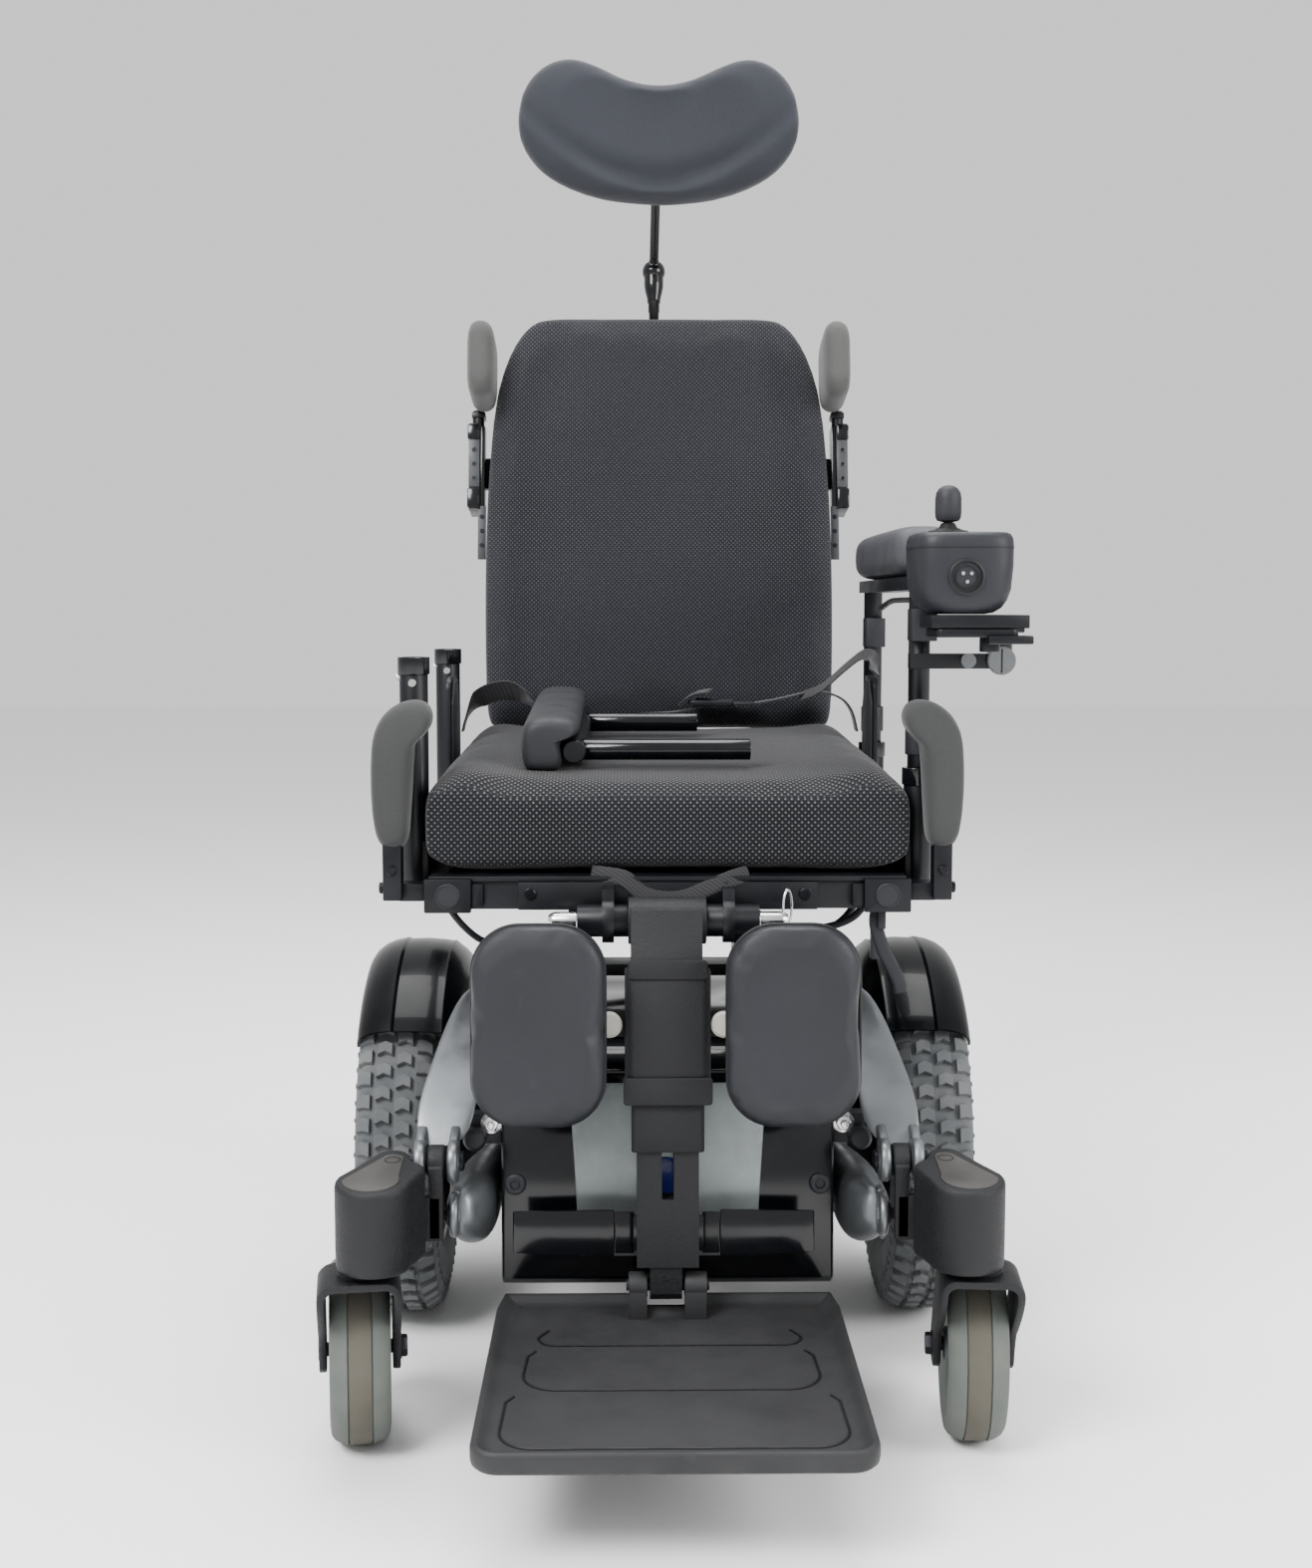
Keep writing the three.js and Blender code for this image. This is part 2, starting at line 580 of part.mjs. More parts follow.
function backShell() {
  const d = BACK_CUSHION_DEPTH + GAP;
  const outline = roundedRect(-160, 160, 16, 396, 50, 5);
  return plateY(outline, d, d + 6);
}

function backFrame() {
  const [hingeY, hingeZ] = RECLINE_LOCAL;
  const depth = BACK_CUSHION_DEPTH + 2 * GAP + 6;
  const hingeTube = barX(14, -170, 170, hingeY, hingeZ, 14);
  let frame = hingeTube;
  [RIGHT, LEFT].forEach((s) => {
    const cane = barZ(11, hingeZ, 385, s * 120, hingeY, 12);
    const bore = barX(PIVOT_R + RUNNING, s * 156, s * 175, hingeY, hingeZ);
    const arm = box(s * 112, s * 209, depth, depth + 8, 247, 282);
    const plate = box(s * 197, s * 209, 28, depth + 8, 217, 313);
    frame = cut(join(frame, cane, arm, plate), bore);
  });
  const [clampLow, clampHigh] = [330, 372];
  const crossBar = box(-120, 120, depth + 6, depth + 16, clampLow, clampHigh);
  const clamp = box(-22, 14, depth, depth + 34, clampLow, clampHigh);
  const bore = barZ(8 + RUNNING, clampLow - 5, clampHigh + 5, -4, HEADREST_POST_DEPTH, 12);
  return cut(join(frame, crossBar, clamp), bore);
}

function lateralSupport(s) {
  const [depth, x] = SWING_LOCAL;
  const outline = [...arc(-30, 395, 17, 90, 180, 4), ...arc(-30, 343, 17, 180, 270, 4),
    ...arc(36, 343, 17, 270, 360, 4), ...arc(36, 395, 17, 0, 90, 4)];
  const pad = plateX(outline, s * 181, s * 206);
  const stem = barZ(7, 313 + GAP, 351, s * x, depth, 12);
  return join(pad, stem);
}

// ---------------------------------------------------------------- headrest

function headrestPost() {
  const post = barZ(8, 240, 476, -4, HEADREST_POST_DEPTH, 12);
  const block = box(-14, 6, HEADREST_POST_DEPTH - 11, HEADREST_POST_DEPTH + 11, 460, 488);
  return join(post, block);
}

const LINK_LOW = [-4, 341, 1082.6];
const LINK_HIGH = [-2, 277.4, 1180];

function headrestLink() {
  const ball = (x, y, z, r) => solid(new THREE.SphereGeometry(r, 12, 6).translate(x, y, z));
  return join(ball(...LINK_LOW, 15), rod(LINK_LOW, LINK_HIGH, 8, 12), ball(...LINK_HIGH, 12));
}

function headrestPad() {
  const half = [[0, 1266], [30, 1270], [62, 1280], [93, 1286], [124, 1275], [143, 1250], [148, 1222],
    [142, 1192], [122, 1168], [92, 1152], [55, 1141], [20, 1138]];
  const mirrored = half.slice(1).reverse().map(([x, z]) => [-x, z]);
  return plateY([...half, ...mirrored], 206, 264);
}

// ---------------------------------------------------------------- armrests and joystick

function armrestFrame() {
  const posts = [POST_FRONT_Y, POST_REAR_Y].map((y) => barZ(POST_R, 470, ARM_RAIL_Z + 4, POST_X, y, 12));
  const rail = box(209, 238, -242, 124, ARM_RAIL_Z, ARM_RAIL_Z + 12);
  const [hx, hy] = JOY_HINGE;
  const bracket = box(212, hx + 11, hy - 9, hy + 9, 648, 661);
  const pin = barZ(5, 655, 688, hx, hy, 12);
  return join(...posts, rail, bracket, pin);
}

function armPad() {
  const y = [-196, -188, 120, 137];
  const tall = [0.75, 1, 1, 0.8];
  const bottom = ARM_RAIL_Z + 12 + GAP;
  const height = 775 - bottom;
  return loft(y.map((at, i) => ring([231.5, at, bottom + height / 2], [28.5 * (0.85 + 0.15 * tall[i]), 0, 0],
    [0, 0, height * tall[i] / 2], 16, 4)));
}

function joystickArm() {
  const [hx, hy] = JOY_HINGE;
  const boss = barZ(11, 661 + GAP, 692, hx, hy, 14);
  const link = box(hx - 10, hx + 10, -290, hy, 680, 692);
  const plate = box(216, hx + 6, -330, -262, 684, 695);
  return cut(join(boss, link, plate), barZ(5 + RUNNING, 650, 700, hx, hy, 12));
}

function joystickHousing() {
  const [jx, jy, jz] = JOY_STICK;
  const body = loft([
    ring([244, -296, 696], [28, 0, 0], [0, 34, 0], 20, 3),
    ring([244, -294, 706], [36, 0, 0], [0, 42, 0], 20, 4),
    ring([244, -293, 735], [42, 0, 0], [0, 46, 0], 20, 4),
    ring([244, -293, 756], [42, 0, 0], [0, 46, 0], 20, 4),
    ring([244, -293, 763], [38, 0, 0], [0, 42, 0], 20, 4),
  ]);
  return cut(body, barZ(16, jz - 7, jz + 12, jx, jy, 14), barZ(6.6, 757, 775, 262, -264, 12));
}

function joystickStick() {
  const [jx, jy, jz] = JOY_STICK;
  const profile = [[0, 4], [4, 4], [4, 12], [10, 14], [11, 20], [11, 32], [9, 39], [5, 42], [0, 43]];
  const geometry = new THREE.LatheGeometry(profile.map(([r, h]) => new THREE.Vector2(r, h)), 14);
  return solid(geometry.rotateX(Math.PI / 2).translate(jx, jy, jz));
}

function looseArmTubes() {
  const rail = box(-82, -70, -200, 110, -14, 14);
  const nearTube = barX(POST_R, -76, 76, -185, 0, 12);
  const farTube = barX(POST_R, -76, 36, 45, 0, 12);
  return join(rail, nearTube, farTube);
}

function looseArmPad() {
  const y = [-214, -206, 102, 116];
  const full = [0.8, 1, 1, 0.8];
  return loft(y.map((at, i) => ring([-106, at, 7], [24, 0, 0], [0, 0, 25.5 * full[i]], 16, 4)));
}

// lead from the joystick, clipped along the underside of the armrest's rail
function joystickCable() {
  const route = [[252, -246, 722], [251, -232, 717], [243, -200, 709], [232, -120, 708], [232, -20, 708],
    [232, 60, 706], [226, 78, 700]].map((p) => new THREE.Vector3(...p));
  const circle = new THREE.Shape(arc(0, 0, 3, 0, 300, 5).map(([u, v]) => new THREE.Vector2(u, v)));
  const path = new THREE.CatmullRomCurve3(route);
  return solid(new THREE.ExtrudeGeometry(circle, { steps: 16, extrudePath: path, bevelEnabled: false }));
}

// ---------------------------------------------------------------- footrest

function legSleeve() {
  const barrel = barX(20, -34, 32, 0, 0, 16);
  const head = box(-32, 28, -30, -4, -45, 12);
  const sleeve = plateZ(roundedRect(-37, 35, -34, 8, 8, 3), -151, -40);
  const cavity = box(-28.5, 26.5, -28, 2, -160, -62);
  const padBar = box(-112, 106, -20, -8, -96, -74);
  const stands = [-108, 104].map((x) => box(x - 10, x + 10, -53.6, -10, -96, -74));
  const bore = barX(LEG_TUBE_R + RUNNING, -40, 40, 0, 0, 16);
  return cut(join(barrel, head, sleeve, padBar, ...stands), bore, cavity);
}

function legLower() {
  const [hy, hz] = FOOT_HINGE_LOCAL;
  const tube = box(-27, 25, -26.5, 0.5, -289, -70);
  const slot = box(-6, 4, -30, 5, -232, -192);
  const tongue = box(-16, 11, -24, 0, -312, -285);
  const nose = barX(12, -16, 11, hy, hz, 14);
  const pin = barX(5, -36, 34, hy, hz, 12);
  return join(cut(tube, slot), tongue, nose, pin);
}

function calfPad(xa, xb) {
  return plateY(roundedRect(xa, xb, -164, 3, 48, 6), -78, -54);
}

function heelGuard() {
  return plateY(roundedRect(-133, 125, -286, -247, 6, 2), 1, 7);
}

// drawn level with the hinge line at the group's origin
function footplate() {
  const rear = 33;
  const front = -256;
  const top = -26;
  const outline = [[-141, rear], [141, rear], [146, rear - 30], [150, front + 24], [144, front + 6],
    [128, front], [-128, front], [-144, front + 6], [-150, front + 24], [-146, rear - 30]];
  const inset = outline.map(([x, y]) => [x * 0.955, y * 0.955 - 5]);
  const slab = cut(plateZ(outline, top - 12, top + 6), plateZ(inset, top, top + 10));
  const notch = box(-20, 15, 8, rear + 5, top - 15, top + 10);
  const barrels = [[-34, -18], [13, 32]].map(([a, b]) => join(barX(11, a, b, 0, 0, 14),
    box(a, b, -11, 11, top - 4, 0)));
  const bore = barX(5 + RUNNING, -40, 40, 0, 0, 12);
  const clearance = barX(14, -17, 12, 0, 0, 14);
  return cut(join(cut(slab, notch), ...barrels), bore, clearance);
}

// ---------------------------------------------------------------- assembly

const M = MATERIALS;
add('base_frame', M.blackPaint, baseFrame());
add('battery_pack', M.moulded, box(-104, 104, -184, 60, 134 + GAP, 290));
add('front_cover', M.glossBlack, frontCover());
const panelGroup = leaned(BASE_FRONT_Y + COVER_SET_BACK * 0.96 - GAP, 292, -COVER_LEAN);
add('front_panel', M.silverPanel, frontPanel(), panelGroup);
add('rear_cover', M.glossBlack, rearCover());

[RIGHT, LEFT].forEach((s) => {
  const side = sideName(s);
  add(`motor_${side}`, M.blackPaint, motor(s));
  add(`fender_${side}`, M.glossBlack, fender(s));
  add(`drive_tyre_${side}`, M.tyreRubber, driveTyre(s));
  add(`drive_rim_${side}`, M.rim, driveRim(s));
  add(`upper_arm_${side}`, M.castAluminium, upperArm(s));
  add(`lower_arm_${side}`, M.castAluminium, lowerArm(s));
  add(`caster_housing_${side}`, M.texturedBlack, casterHousing(s));
  addCaster('front', s, FRONT_SWIVEL, TRAIL, FRONT_TOE[side]);
  add(`rear_arm_${side}`, M.castAluminium, rearArm(s));
  addCaster('rear', s, REAR_SWIVEL, REAR_TRAIL, 0);
  add(`thigh_support_${side}`, M.padFabric, thighSupport(s));
  add(`arm_receiver_${side}`, M.blackPaint, armReceiver(s));
});

add('seat_frame', M.blackPaint, seatFrame());
add('seat_cushion', M.spacerFabric, seatCushion());
add('lap_belt', M.webbing, lapBelt());

const back = leaned(...BACK_FOOT, -BACK_LEAN);
add('back_cushion', M.spacerFabric, backCushion(), back);
add('back_shell', M.moulded, backShell(), back);
add('back_frame', M.blackPaint, backFrame(), back);
add('lateral_support_right', M.padFabric, lateralSupport(RIGHT), back);
add('lateral_support_left', M.padFabric, lateralSupport(LEFT), back);
add('headrest_post', M.glossBlack, headrestPost(), back);
add('headrest_link', M.glossBlack, headrestLink());
add('headrest_pad', M.padFabric, headrestPad());

add('armrest_frame', M.blackPaint, armrestFrame());
add('arm_pad', M.moulded, armPad());
add('joystick_arm', M.blackPaint, joystickArm());
add('joystick_housing', M.moulded, joystickHousing());
add('joystick_gimbal', M.moulded,
  barZ(3.6, JOY_STICK[2] - 2, JOY_STICK[2] + 2, JOY_STICK[0], JOY_STICK[1], 12));
add('joystick_stick', M.moulded, joystickStick());
add('power_button', M.moulded, barZ(6, 759, 764.5, 262, -264, 12));
add('joystick_cable', M.webbing, joystickCable());

const looseArm = leaned(0, 583, 2.8);
add('loose_arm_tubes', M.glossBlack, looseArmTubes(), looseArm);
add('loose_arm_pad', M.moulded, looseArmPad(), looseArm);

const leg = leaned(...LEG_PIVOT, -LEG_LEAN);
add('leg_sleeve', M.texturedBlack, legSleeve(), leg);
add('leg_lower', M.texturedBlack, legLower(), leg);
add('calf_pad_right', M.padFabric, calfPad(-163, -52), leg);
add('calf_pad_left', M.padFabric, calfPad(46, 157), leg);
add('heel_guard', M.glossBlack, heelGuard(), leg);

const foot = leaned(...FOOT_HINGE_LOCAL, LEG_LEAN + FOOT_SLOPE, leg);
add('footplate', M.moulded, footplate(), foot);

export default chair;
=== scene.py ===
import json
import math

import bmesh
import bpy
from mathutils import Matrix, Vector

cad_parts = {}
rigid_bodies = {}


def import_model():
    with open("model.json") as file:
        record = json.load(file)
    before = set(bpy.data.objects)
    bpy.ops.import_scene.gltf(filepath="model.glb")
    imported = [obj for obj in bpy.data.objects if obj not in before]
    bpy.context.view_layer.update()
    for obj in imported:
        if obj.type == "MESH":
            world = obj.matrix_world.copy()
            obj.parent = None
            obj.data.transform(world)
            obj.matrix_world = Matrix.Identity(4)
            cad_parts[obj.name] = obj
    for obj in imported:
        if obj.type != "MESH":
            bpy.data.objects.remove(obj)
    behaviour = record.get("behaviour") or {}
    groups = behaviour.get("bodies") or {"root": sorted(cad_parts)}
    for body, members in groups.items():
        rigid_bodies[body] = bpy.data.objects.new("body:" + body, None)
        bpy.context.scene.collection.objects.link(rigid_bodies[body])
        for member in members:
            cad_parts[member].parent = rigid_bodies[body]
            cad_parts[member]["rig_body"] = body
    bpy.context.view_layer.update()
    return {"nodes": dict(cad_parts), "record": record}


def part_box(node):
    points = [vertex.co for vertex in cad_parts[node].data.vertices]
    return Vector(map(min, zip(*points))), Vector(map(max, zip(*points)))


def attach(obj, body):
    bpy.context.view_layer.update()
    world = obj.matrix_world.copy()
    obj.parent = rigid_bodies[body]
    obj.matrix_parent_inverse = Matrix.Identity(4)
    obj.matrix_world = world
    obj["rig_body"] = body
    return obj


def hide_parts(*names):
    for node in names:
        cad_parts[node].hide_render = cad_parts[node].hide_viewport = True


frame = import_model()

MM = 0.001

# Pieces are placed in millimetres from the drive axle's line and the floor, as the CAD is.
AXLE_Y = (sum(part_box("drive_tyre_left"), Vector()) / 2).y


def at(x, y, z):
    return Vector((x * MM, y * MM + AXLE_Y, z * MM))


SIDES = ((-1, "right"), (1, "left"))
MIRROR = (-1, 1)

# Shared places and radii: a pair is (y, z) for a line along X and (x, y) for a line along Z.
DRIVE_X, DRIVE_R = 252, 177
CASTER_R = 78
UPPER_REAR, UPPER_FRONT = (-150, 335), (-338, 240)
LOWER_REAR, LOWER_FRONT = (-165, 190), (-335, 193)
REAR_ARM_PIVOT = (120, 185)
FRONT_SWIVEL, REAR_SWIVEL = (252, -398), (165, 340)
LEG_PIVOT = (-300, 437)
POST_X, POST_YS = 221, (-228, 100)
ARM_PAD_X = 231.5
POD_X, STICK = 244, (234, -295)

# ---------------------------------------------------------------- camera, light and floor

CAMERA_PLACE = (-33.5, -1950, 702)
CAMERA_LENS, CAMERA_SENSOR = 45.17, 36
CAMERA_DOWN, CAMERA_TURN = 0.090, 0.014
# Name, place, target, size and power of each lamp, in metres and watts.
LIGHTS = (
    ("key", (-1.6, -2.2, 2.8), (0, 0, 0.6), 1.4, 190),
    ("fill", (2.2, -1.6, 1.6), (0, 0, 0.6), 1.4, 80),
    ("top", (0, 0.4, 3.2), (0, 0, 0.5), 2.0, 130),
)
FLOOR_HALF = 12


def make_camera():
    data = bpy.data.cameras.new("camera")
    data.sensor_width = CAMERA_SENSOR
    data.lens = CAMERA_LENS
    camera = bpy.data.objects.new("camera", data)
    bpy.context.scene.collection.objects.link(camera)
    down, turn = CAMERA_DOWN, CAMERA_TURN
    forward = Vector((math.sin(turn) * math.cos(down), math.cos(turn) * math.cos(down), -math.sin(down)))
    camera.location = at(*CAMERA_PLACE)
    camera.rotation_euler = forward.to_track_quat("-Z", "Y").to_euler()
    bpy.context.scene.camera = camera


def area_light(name, place, target, size, power):
    data = bpy.data.lights.new(name, "AREA")
    data.shape = "SQUARE"
    data.size = size
    data.energy = power
    lamp = bpy.data.objects.new(name, data)
    bpy.context.scene.collection.objects.link(lamp)
    lamp.location = place
    lamp.rotation_euler = (Vector(target) - Vector(place)).to_track_quat("-Z", "Y").to_euler()


def make_studio():
    world = bpy.data.worlds.new("studio")
    bpy.context.scene.world = world
    world.use_nodes = True
    backdrop = world.node_tree.nodes["Background"]
    backdrop.inputs["Color"].default_value = (1.0, 1.0, 1.0, 1)
    backdrop.inputs["Strength"].default_value = 1.0
    for light in LIGHTS:
        area_light(*light)
    floor_mesh = bpy.data.meshes.new("floor")
    w = FLOOR_HALF
    floor_mesh.from_pydata([(-w, -w, 0), (w, -w, 0), (w, w, 0), (-w, w, 0)], [], [(0, 1, 2, 3)])
    floor = bpy.data.objects.new("floor", floor_mesh)
    bpy.context.scene.collection.objects.link(floor)
    paper = bpy.data.materials.new("paper")
    paper.use_nodes = True
    bsdf = paper.node_tree.nodes["Principled BSDF"]
    bsdf.inputs["Base Color"].default_value = (0.93, 0.93, 0.93, 1)
    bsdf.inputs["Roughness"].default_value = 0.9
    floor_mesh.materials.append(paper)


make_camera()
make_studio()

# ---------------------------------------------------------------- materials


class Surface:
    """A Principled material with helpers that wire its detail."""

    def __init__(self, name, color, roughness, metallic=0.0, **fixed):
        self.material = bpy.data.materials.new(name)
        self.material.use_nodes = True
        self.tree = self.material.node_tree
        self.bsdf = self.tree.nodes["Principled BSDF"]
        self.color = (*color, 1)
        self.bsdf.inputs["Base Color"].default_value = self.color
        self.bsdf.inputs["Roughness"].default_value = roughness
        self.bsdf.inputs["Metallic"].default_value = metallic
        for socket, value in fixed.items():
            self.bsdf.inputs[socket.replace("_", " ")].default_value = value
        self.place = self.node("ShaderNodeTexCoord").outputs["Object"]

    def node(self, kind, **values):
        made = self.tree.nodes.new(kind)
        for key, value in values.items():
            setattr(made, key, value)
        return made

    def link(self, source, target):
        self.tree.links.new(source, target)

    def noise(self, scale, detail=3, stretch=(1, 1, 1)):
        mapping = self.node("ShaderNodeMapping")
        mapping.inputs["Scale"].default_value = stretch
        self.link(self.place, mapping.inputs["Vector"])
        made = self.node("ShaderNodeTexNoise")
        made.inputs["Scale"].default_value = scale
        made.inputs["Detail"].default_value = detail
        self.link(mapping.outputs["Vector"], made.inputs["Vector"])
        return made.outputs["Fac"]

    def remap(self, value, low, high, from_low=0.3, from_high=0.7):
        made = self.node("ShaderNodeMapRange")
        made.inputs["From Min"].default_value = from_low
        made.inputs["From Max"].default_value = from_high
        made.inputs["To Min"].default_value = low
        made.inputs["To Max"].default_value = high
        self.link(value, made.inputs["Value"])
        return made.outputs["Result"]

    def math(self, operation, a, b=None):
        made = self.node("ShaderNodeMath", operation=operation)
        for socket, value in zip(made.inputs, (a, b)):
            if value is None:
                continue
            if isinstance(value, (int, float)):
                socket.default_value = value
            else:
                self.link(value, socket)
        return made.outputs["Value"]

    def blend(self, factor, first, second):
        made = self.node("ShaderNodeMix", data_type="RGBA")
        self.link(factor, made.inputs["Factor"])
        for socket, value in ((made.inputs[6], first), (made.inputs[7], second)):
            if isinstance(value, tuple):
                socket.default_value = (*value, 1) if len(value) == 3 else value
            else:
                self.link(value, socket)
        return made.outputs[2]

    def paint(self, color):
        self.link(color, self.bsdf.inputs["Base Color"])

    def rough(self, value):
        self.link(value, self.bsdf.inputs["Roughness"])

    def bump(self, height, strength, distance):
        made = self.node("ShaderNodeBump")
        made.inputs["Strength"].default_value = strength
        made.inputs["Distance"].default_value = distance
        self.link(height, made.inputs["Height"])
        if self.bsdf.inputs["Normal"].links:
            self.link(self.bsdf.inputs["Normal"].links[0].from_socket, made.inputs["Normal"])
        self.link(made.outputs["Normal"], self.bsdf.inputs["Normal"])

    def worn(self, amount):
        """Lighter in broken patches along the outer edges, where the finish rubs thin."""
        point = self.node("ShaderNodeNewGeometry").outputs["Pointiness"]
        edge = self.remap(point, 0.0, amount, 0.53, 0.66)
        scratch = self.remap(self.noise(120, 4), 0.0, 1.0, 0.5, 0.62)
        return self.math("MULTIPLY", edge, scratch)


def shade(color, factor):
    return tuple(min(1.0, c * factor) for c in color)


def dotted_fabric(name, pitch, color, dot_color, dot_size):
    """Spacer mesh: a diagonal lattice of small light dots between raised dark threads."""
    s = Surface(name, color, 0.92, Sheen_Weight=0.08, Sheen_Roughness=0.5, Specular_IOR_Level=0.2)
    split = s.node("ShaderNodeSeparateXYZ")
    s.link(s.place, split.inputs["Vector"])
    normal = s.node("ShaderNodeSeparateXYZ")
    s.link(s.node("ShaderNodeTexCoord").outputs["Normal"], normal.inputs["Vector"])
    lying = s.math("GREATER_THAN", s.math("ABSOLUTE", normal.outputs["Z"]), 0.72)
    side = s.math("GREATER_THAN", s.math("ABSOLUTE", normal.outputs["X"]), 0.78)
    turns = 2 * math.pi / pitch

    def wave(axis):
        return s.math("COSINE", s.math("MULTIPLY", axis, turns))

    def choose(mask, yes, no):
        return s.math("ADD", s.math("MULTIPLY", mask, yes), s.math("MULTIPLY",
            s.math("SUBTRACT", 1.0, mask), no))

    across = choose(side, wave(split.outputs["Y"]), wave(split.outputs["X"]))
    along = choose(lying, wave(split.outputs["Y"]), wave(split.outputs["Z"]))
    lattice = s.math("MULTIPLY", across, along)
    dots = s.remap(lattice, 0.0, 1.0, 1 - dot_size, 1 - dot_size * 0.45)
    fleck = s.remap(s.noise(420, 2), 0.55, 1.0)
    dots = s.math("MULTIPLY", dots, fleck)
    cloud = s.remap(s.noise(7, 3), 0.0, 1.0)
    base = s.blend(cloud, shade(color, 0.85), shade(color, 1.2))
    s.paint(s.blend(dots, base, dot_color))
    s.bump(lattice, 0.55, 0.0009)
    s.bump(s.noise(900, 2), 0.25, 0.0003)
    return s.material


def knit_fabric(name, color, sheen=0.35):
    s = Surface(name, color, 0.88, Sheen_Weight=sheen, Sheen_Roughness=0.45, Specular_IOR_Level=0.25)
    cloud = s.remap(s.noise(9, 4), 0.0, 1.0)
    thread = s.noise(1400, 2, (1, 1, 0.45))
    tone = s.blend(cloud, shade(color, 0.88), shade(color, 1.12))
    s.paint(s.blend(s.remap(thread, 0.0, 0.5), tone, shade(color, 1.5)))
    s.bump(thread, 0.35, 0.0004)
    s.bump(s.noise(60, 3), 0.10, 0.001)
    return s.material


def gloss_paint(name, color, roughness=0.12, specular=0.3, dusty=0.10):
    s = Surface(name, color, roughness, Coat_Weight=0.12, Coat_Roughness=0.05, Specular_IOR_Level=specular)
    dust = s.remap(s.noise(30, 5), 0.0, dusty, 0.5, 0.8)
    s.paint(s.blend(s.math("ADD", dust, s.worn(0.05)), color, (0.03, 0.03, 0.031)))
    s.rough(s.remap(s.noise(9, 4), roughness * 0.8, roughness * 1.9))
    s.bump(s.noise(14, 2), 0.03, 0.002)
    return s.material


def satin_paint(name, color, roughness=0.42, metallic=0.0):
    s = Surface(name, color, roughness, metallic, Specular_IOR_Level=0.25)
    cloud = s.remap(s.noise(16, 4), 0.0, 1.0)
    tone = s.blend(cloud, shade(color, 0.8), shade(color, 1.25))
    s.paint(s.blend(s.worn(0.12), tone, shade(color, 3)))
    s.rough(s.remap(s.noise(25, 4), roughness * 0.85, roughness * 1.25))
    s.bump(s.noise(700, 2), 0.08, 0.0004)
    return s.material


def wrinkle_paint(name, color, roughness=0.62):
    s = Surface(name, color, roughness, 0.0, Specular_IOR_Level=0.35)
    grain = s.noise(520, 3)
    s.paint(s.blend(s.remap(grain, 0.0, 1.0, 0.4, 0.66), shade(color, 0.6), shade(color, 1.8)))
    s.rough(s.remap(grain, roughness * 0.85, roughness * 1.15))
    s.bump(grain, 0.6, 0.0007)
    return s.material


def cast_metal(name, color, roughness=0.34):
    s = Surface(name, color, roughness, 0.85)
    cloud = s.remap(s.noise(12, 5), 0.0, 1.0)
    s.paint(s.blend(cloud, shade(color, 0.86), shade(color, 1.08)))
    s.rough(s.remap(s.noise(45, 5), roughness * 0.8, roughness * 1.3))
    s.bump(s.noise(240, 3), 0.10, 0.0008)
    return s.material


def plain_metal(name, color, roughness):
    s = Surface(name, color, roughness, 1.0)
    s.paint(s.blend(s.remap(s.noise(60, 3), 0.0, 1.0), shade(color, 0.85), shade(color, 1.1)))
    s.rough(s.remap(s.noise(90, 4), roughness * 0.7, roughness * 1.5))
    s.bump(s.noise(500, 2), 0.05, 0.0003)
    return s.material


def moulded_plastic(name, color, roughness=0.55, grain=650):
    s = Surface(name, color, roughness, Specular_IOR_Level=0.3)
    cloud = s.remap(s.noise(10, 4), 0.0, 1.0)
    tone = s.blend(cloud, shade(color, 0.88), shade(color, 1.15))
    scuff = s.remap(s.noise(60, 6, (1, 4, 1)), 0.0, 0.18, 0.66, 0.8)
    s.paint(s.blend(s.math("ADD", scuff, s.worn(0.1)), tone, shade(color, 3)))
    s.rough(s.remap(s.noise(30, 3), roughness * 0.85, roughness * 1.2))
    s.bump(s.noise(grain, 2), 0.2, 0.0005)
    return s.material


def tyre_rubber(name, color, dust_color):
    s = Surface(name, color, 0.85, Specular_IOR_Level=0.3)
    dust = s.remap(s.noise(30, 5), 0.0, 0.6, 0.4, 0.75)
    s.paint(s.blend(dust, color, dust_color))
    s.bump(s.noise(500, 3), 0.2, 0.0006)
    return s.material


def webbing_fabric(name, color):
    s = Surface(name, color, 0.7, Sheen_Weight=0.15, Specular_IOR_Level=0.3)
    ribs = s.node("ShaderNodeTexWave", bands_direction="DIAGONAL")
    ribs.inputs["Scale"].default_value = 130
    ribs.inputs["Distortion"].default_value = 0.3
    s.link(s.place, ribs.inputs["Vector"])
    s.paint(s.blend(ribs.outputs["Fac"], shade(color, 0.6), shade(color, 2.2)))
    s.bump(ribs.outputs["Fac"], 0.4, 0.0006)
    s.bump(s.noise(1000, 2), 0.3, 0.0003)
    return s.material


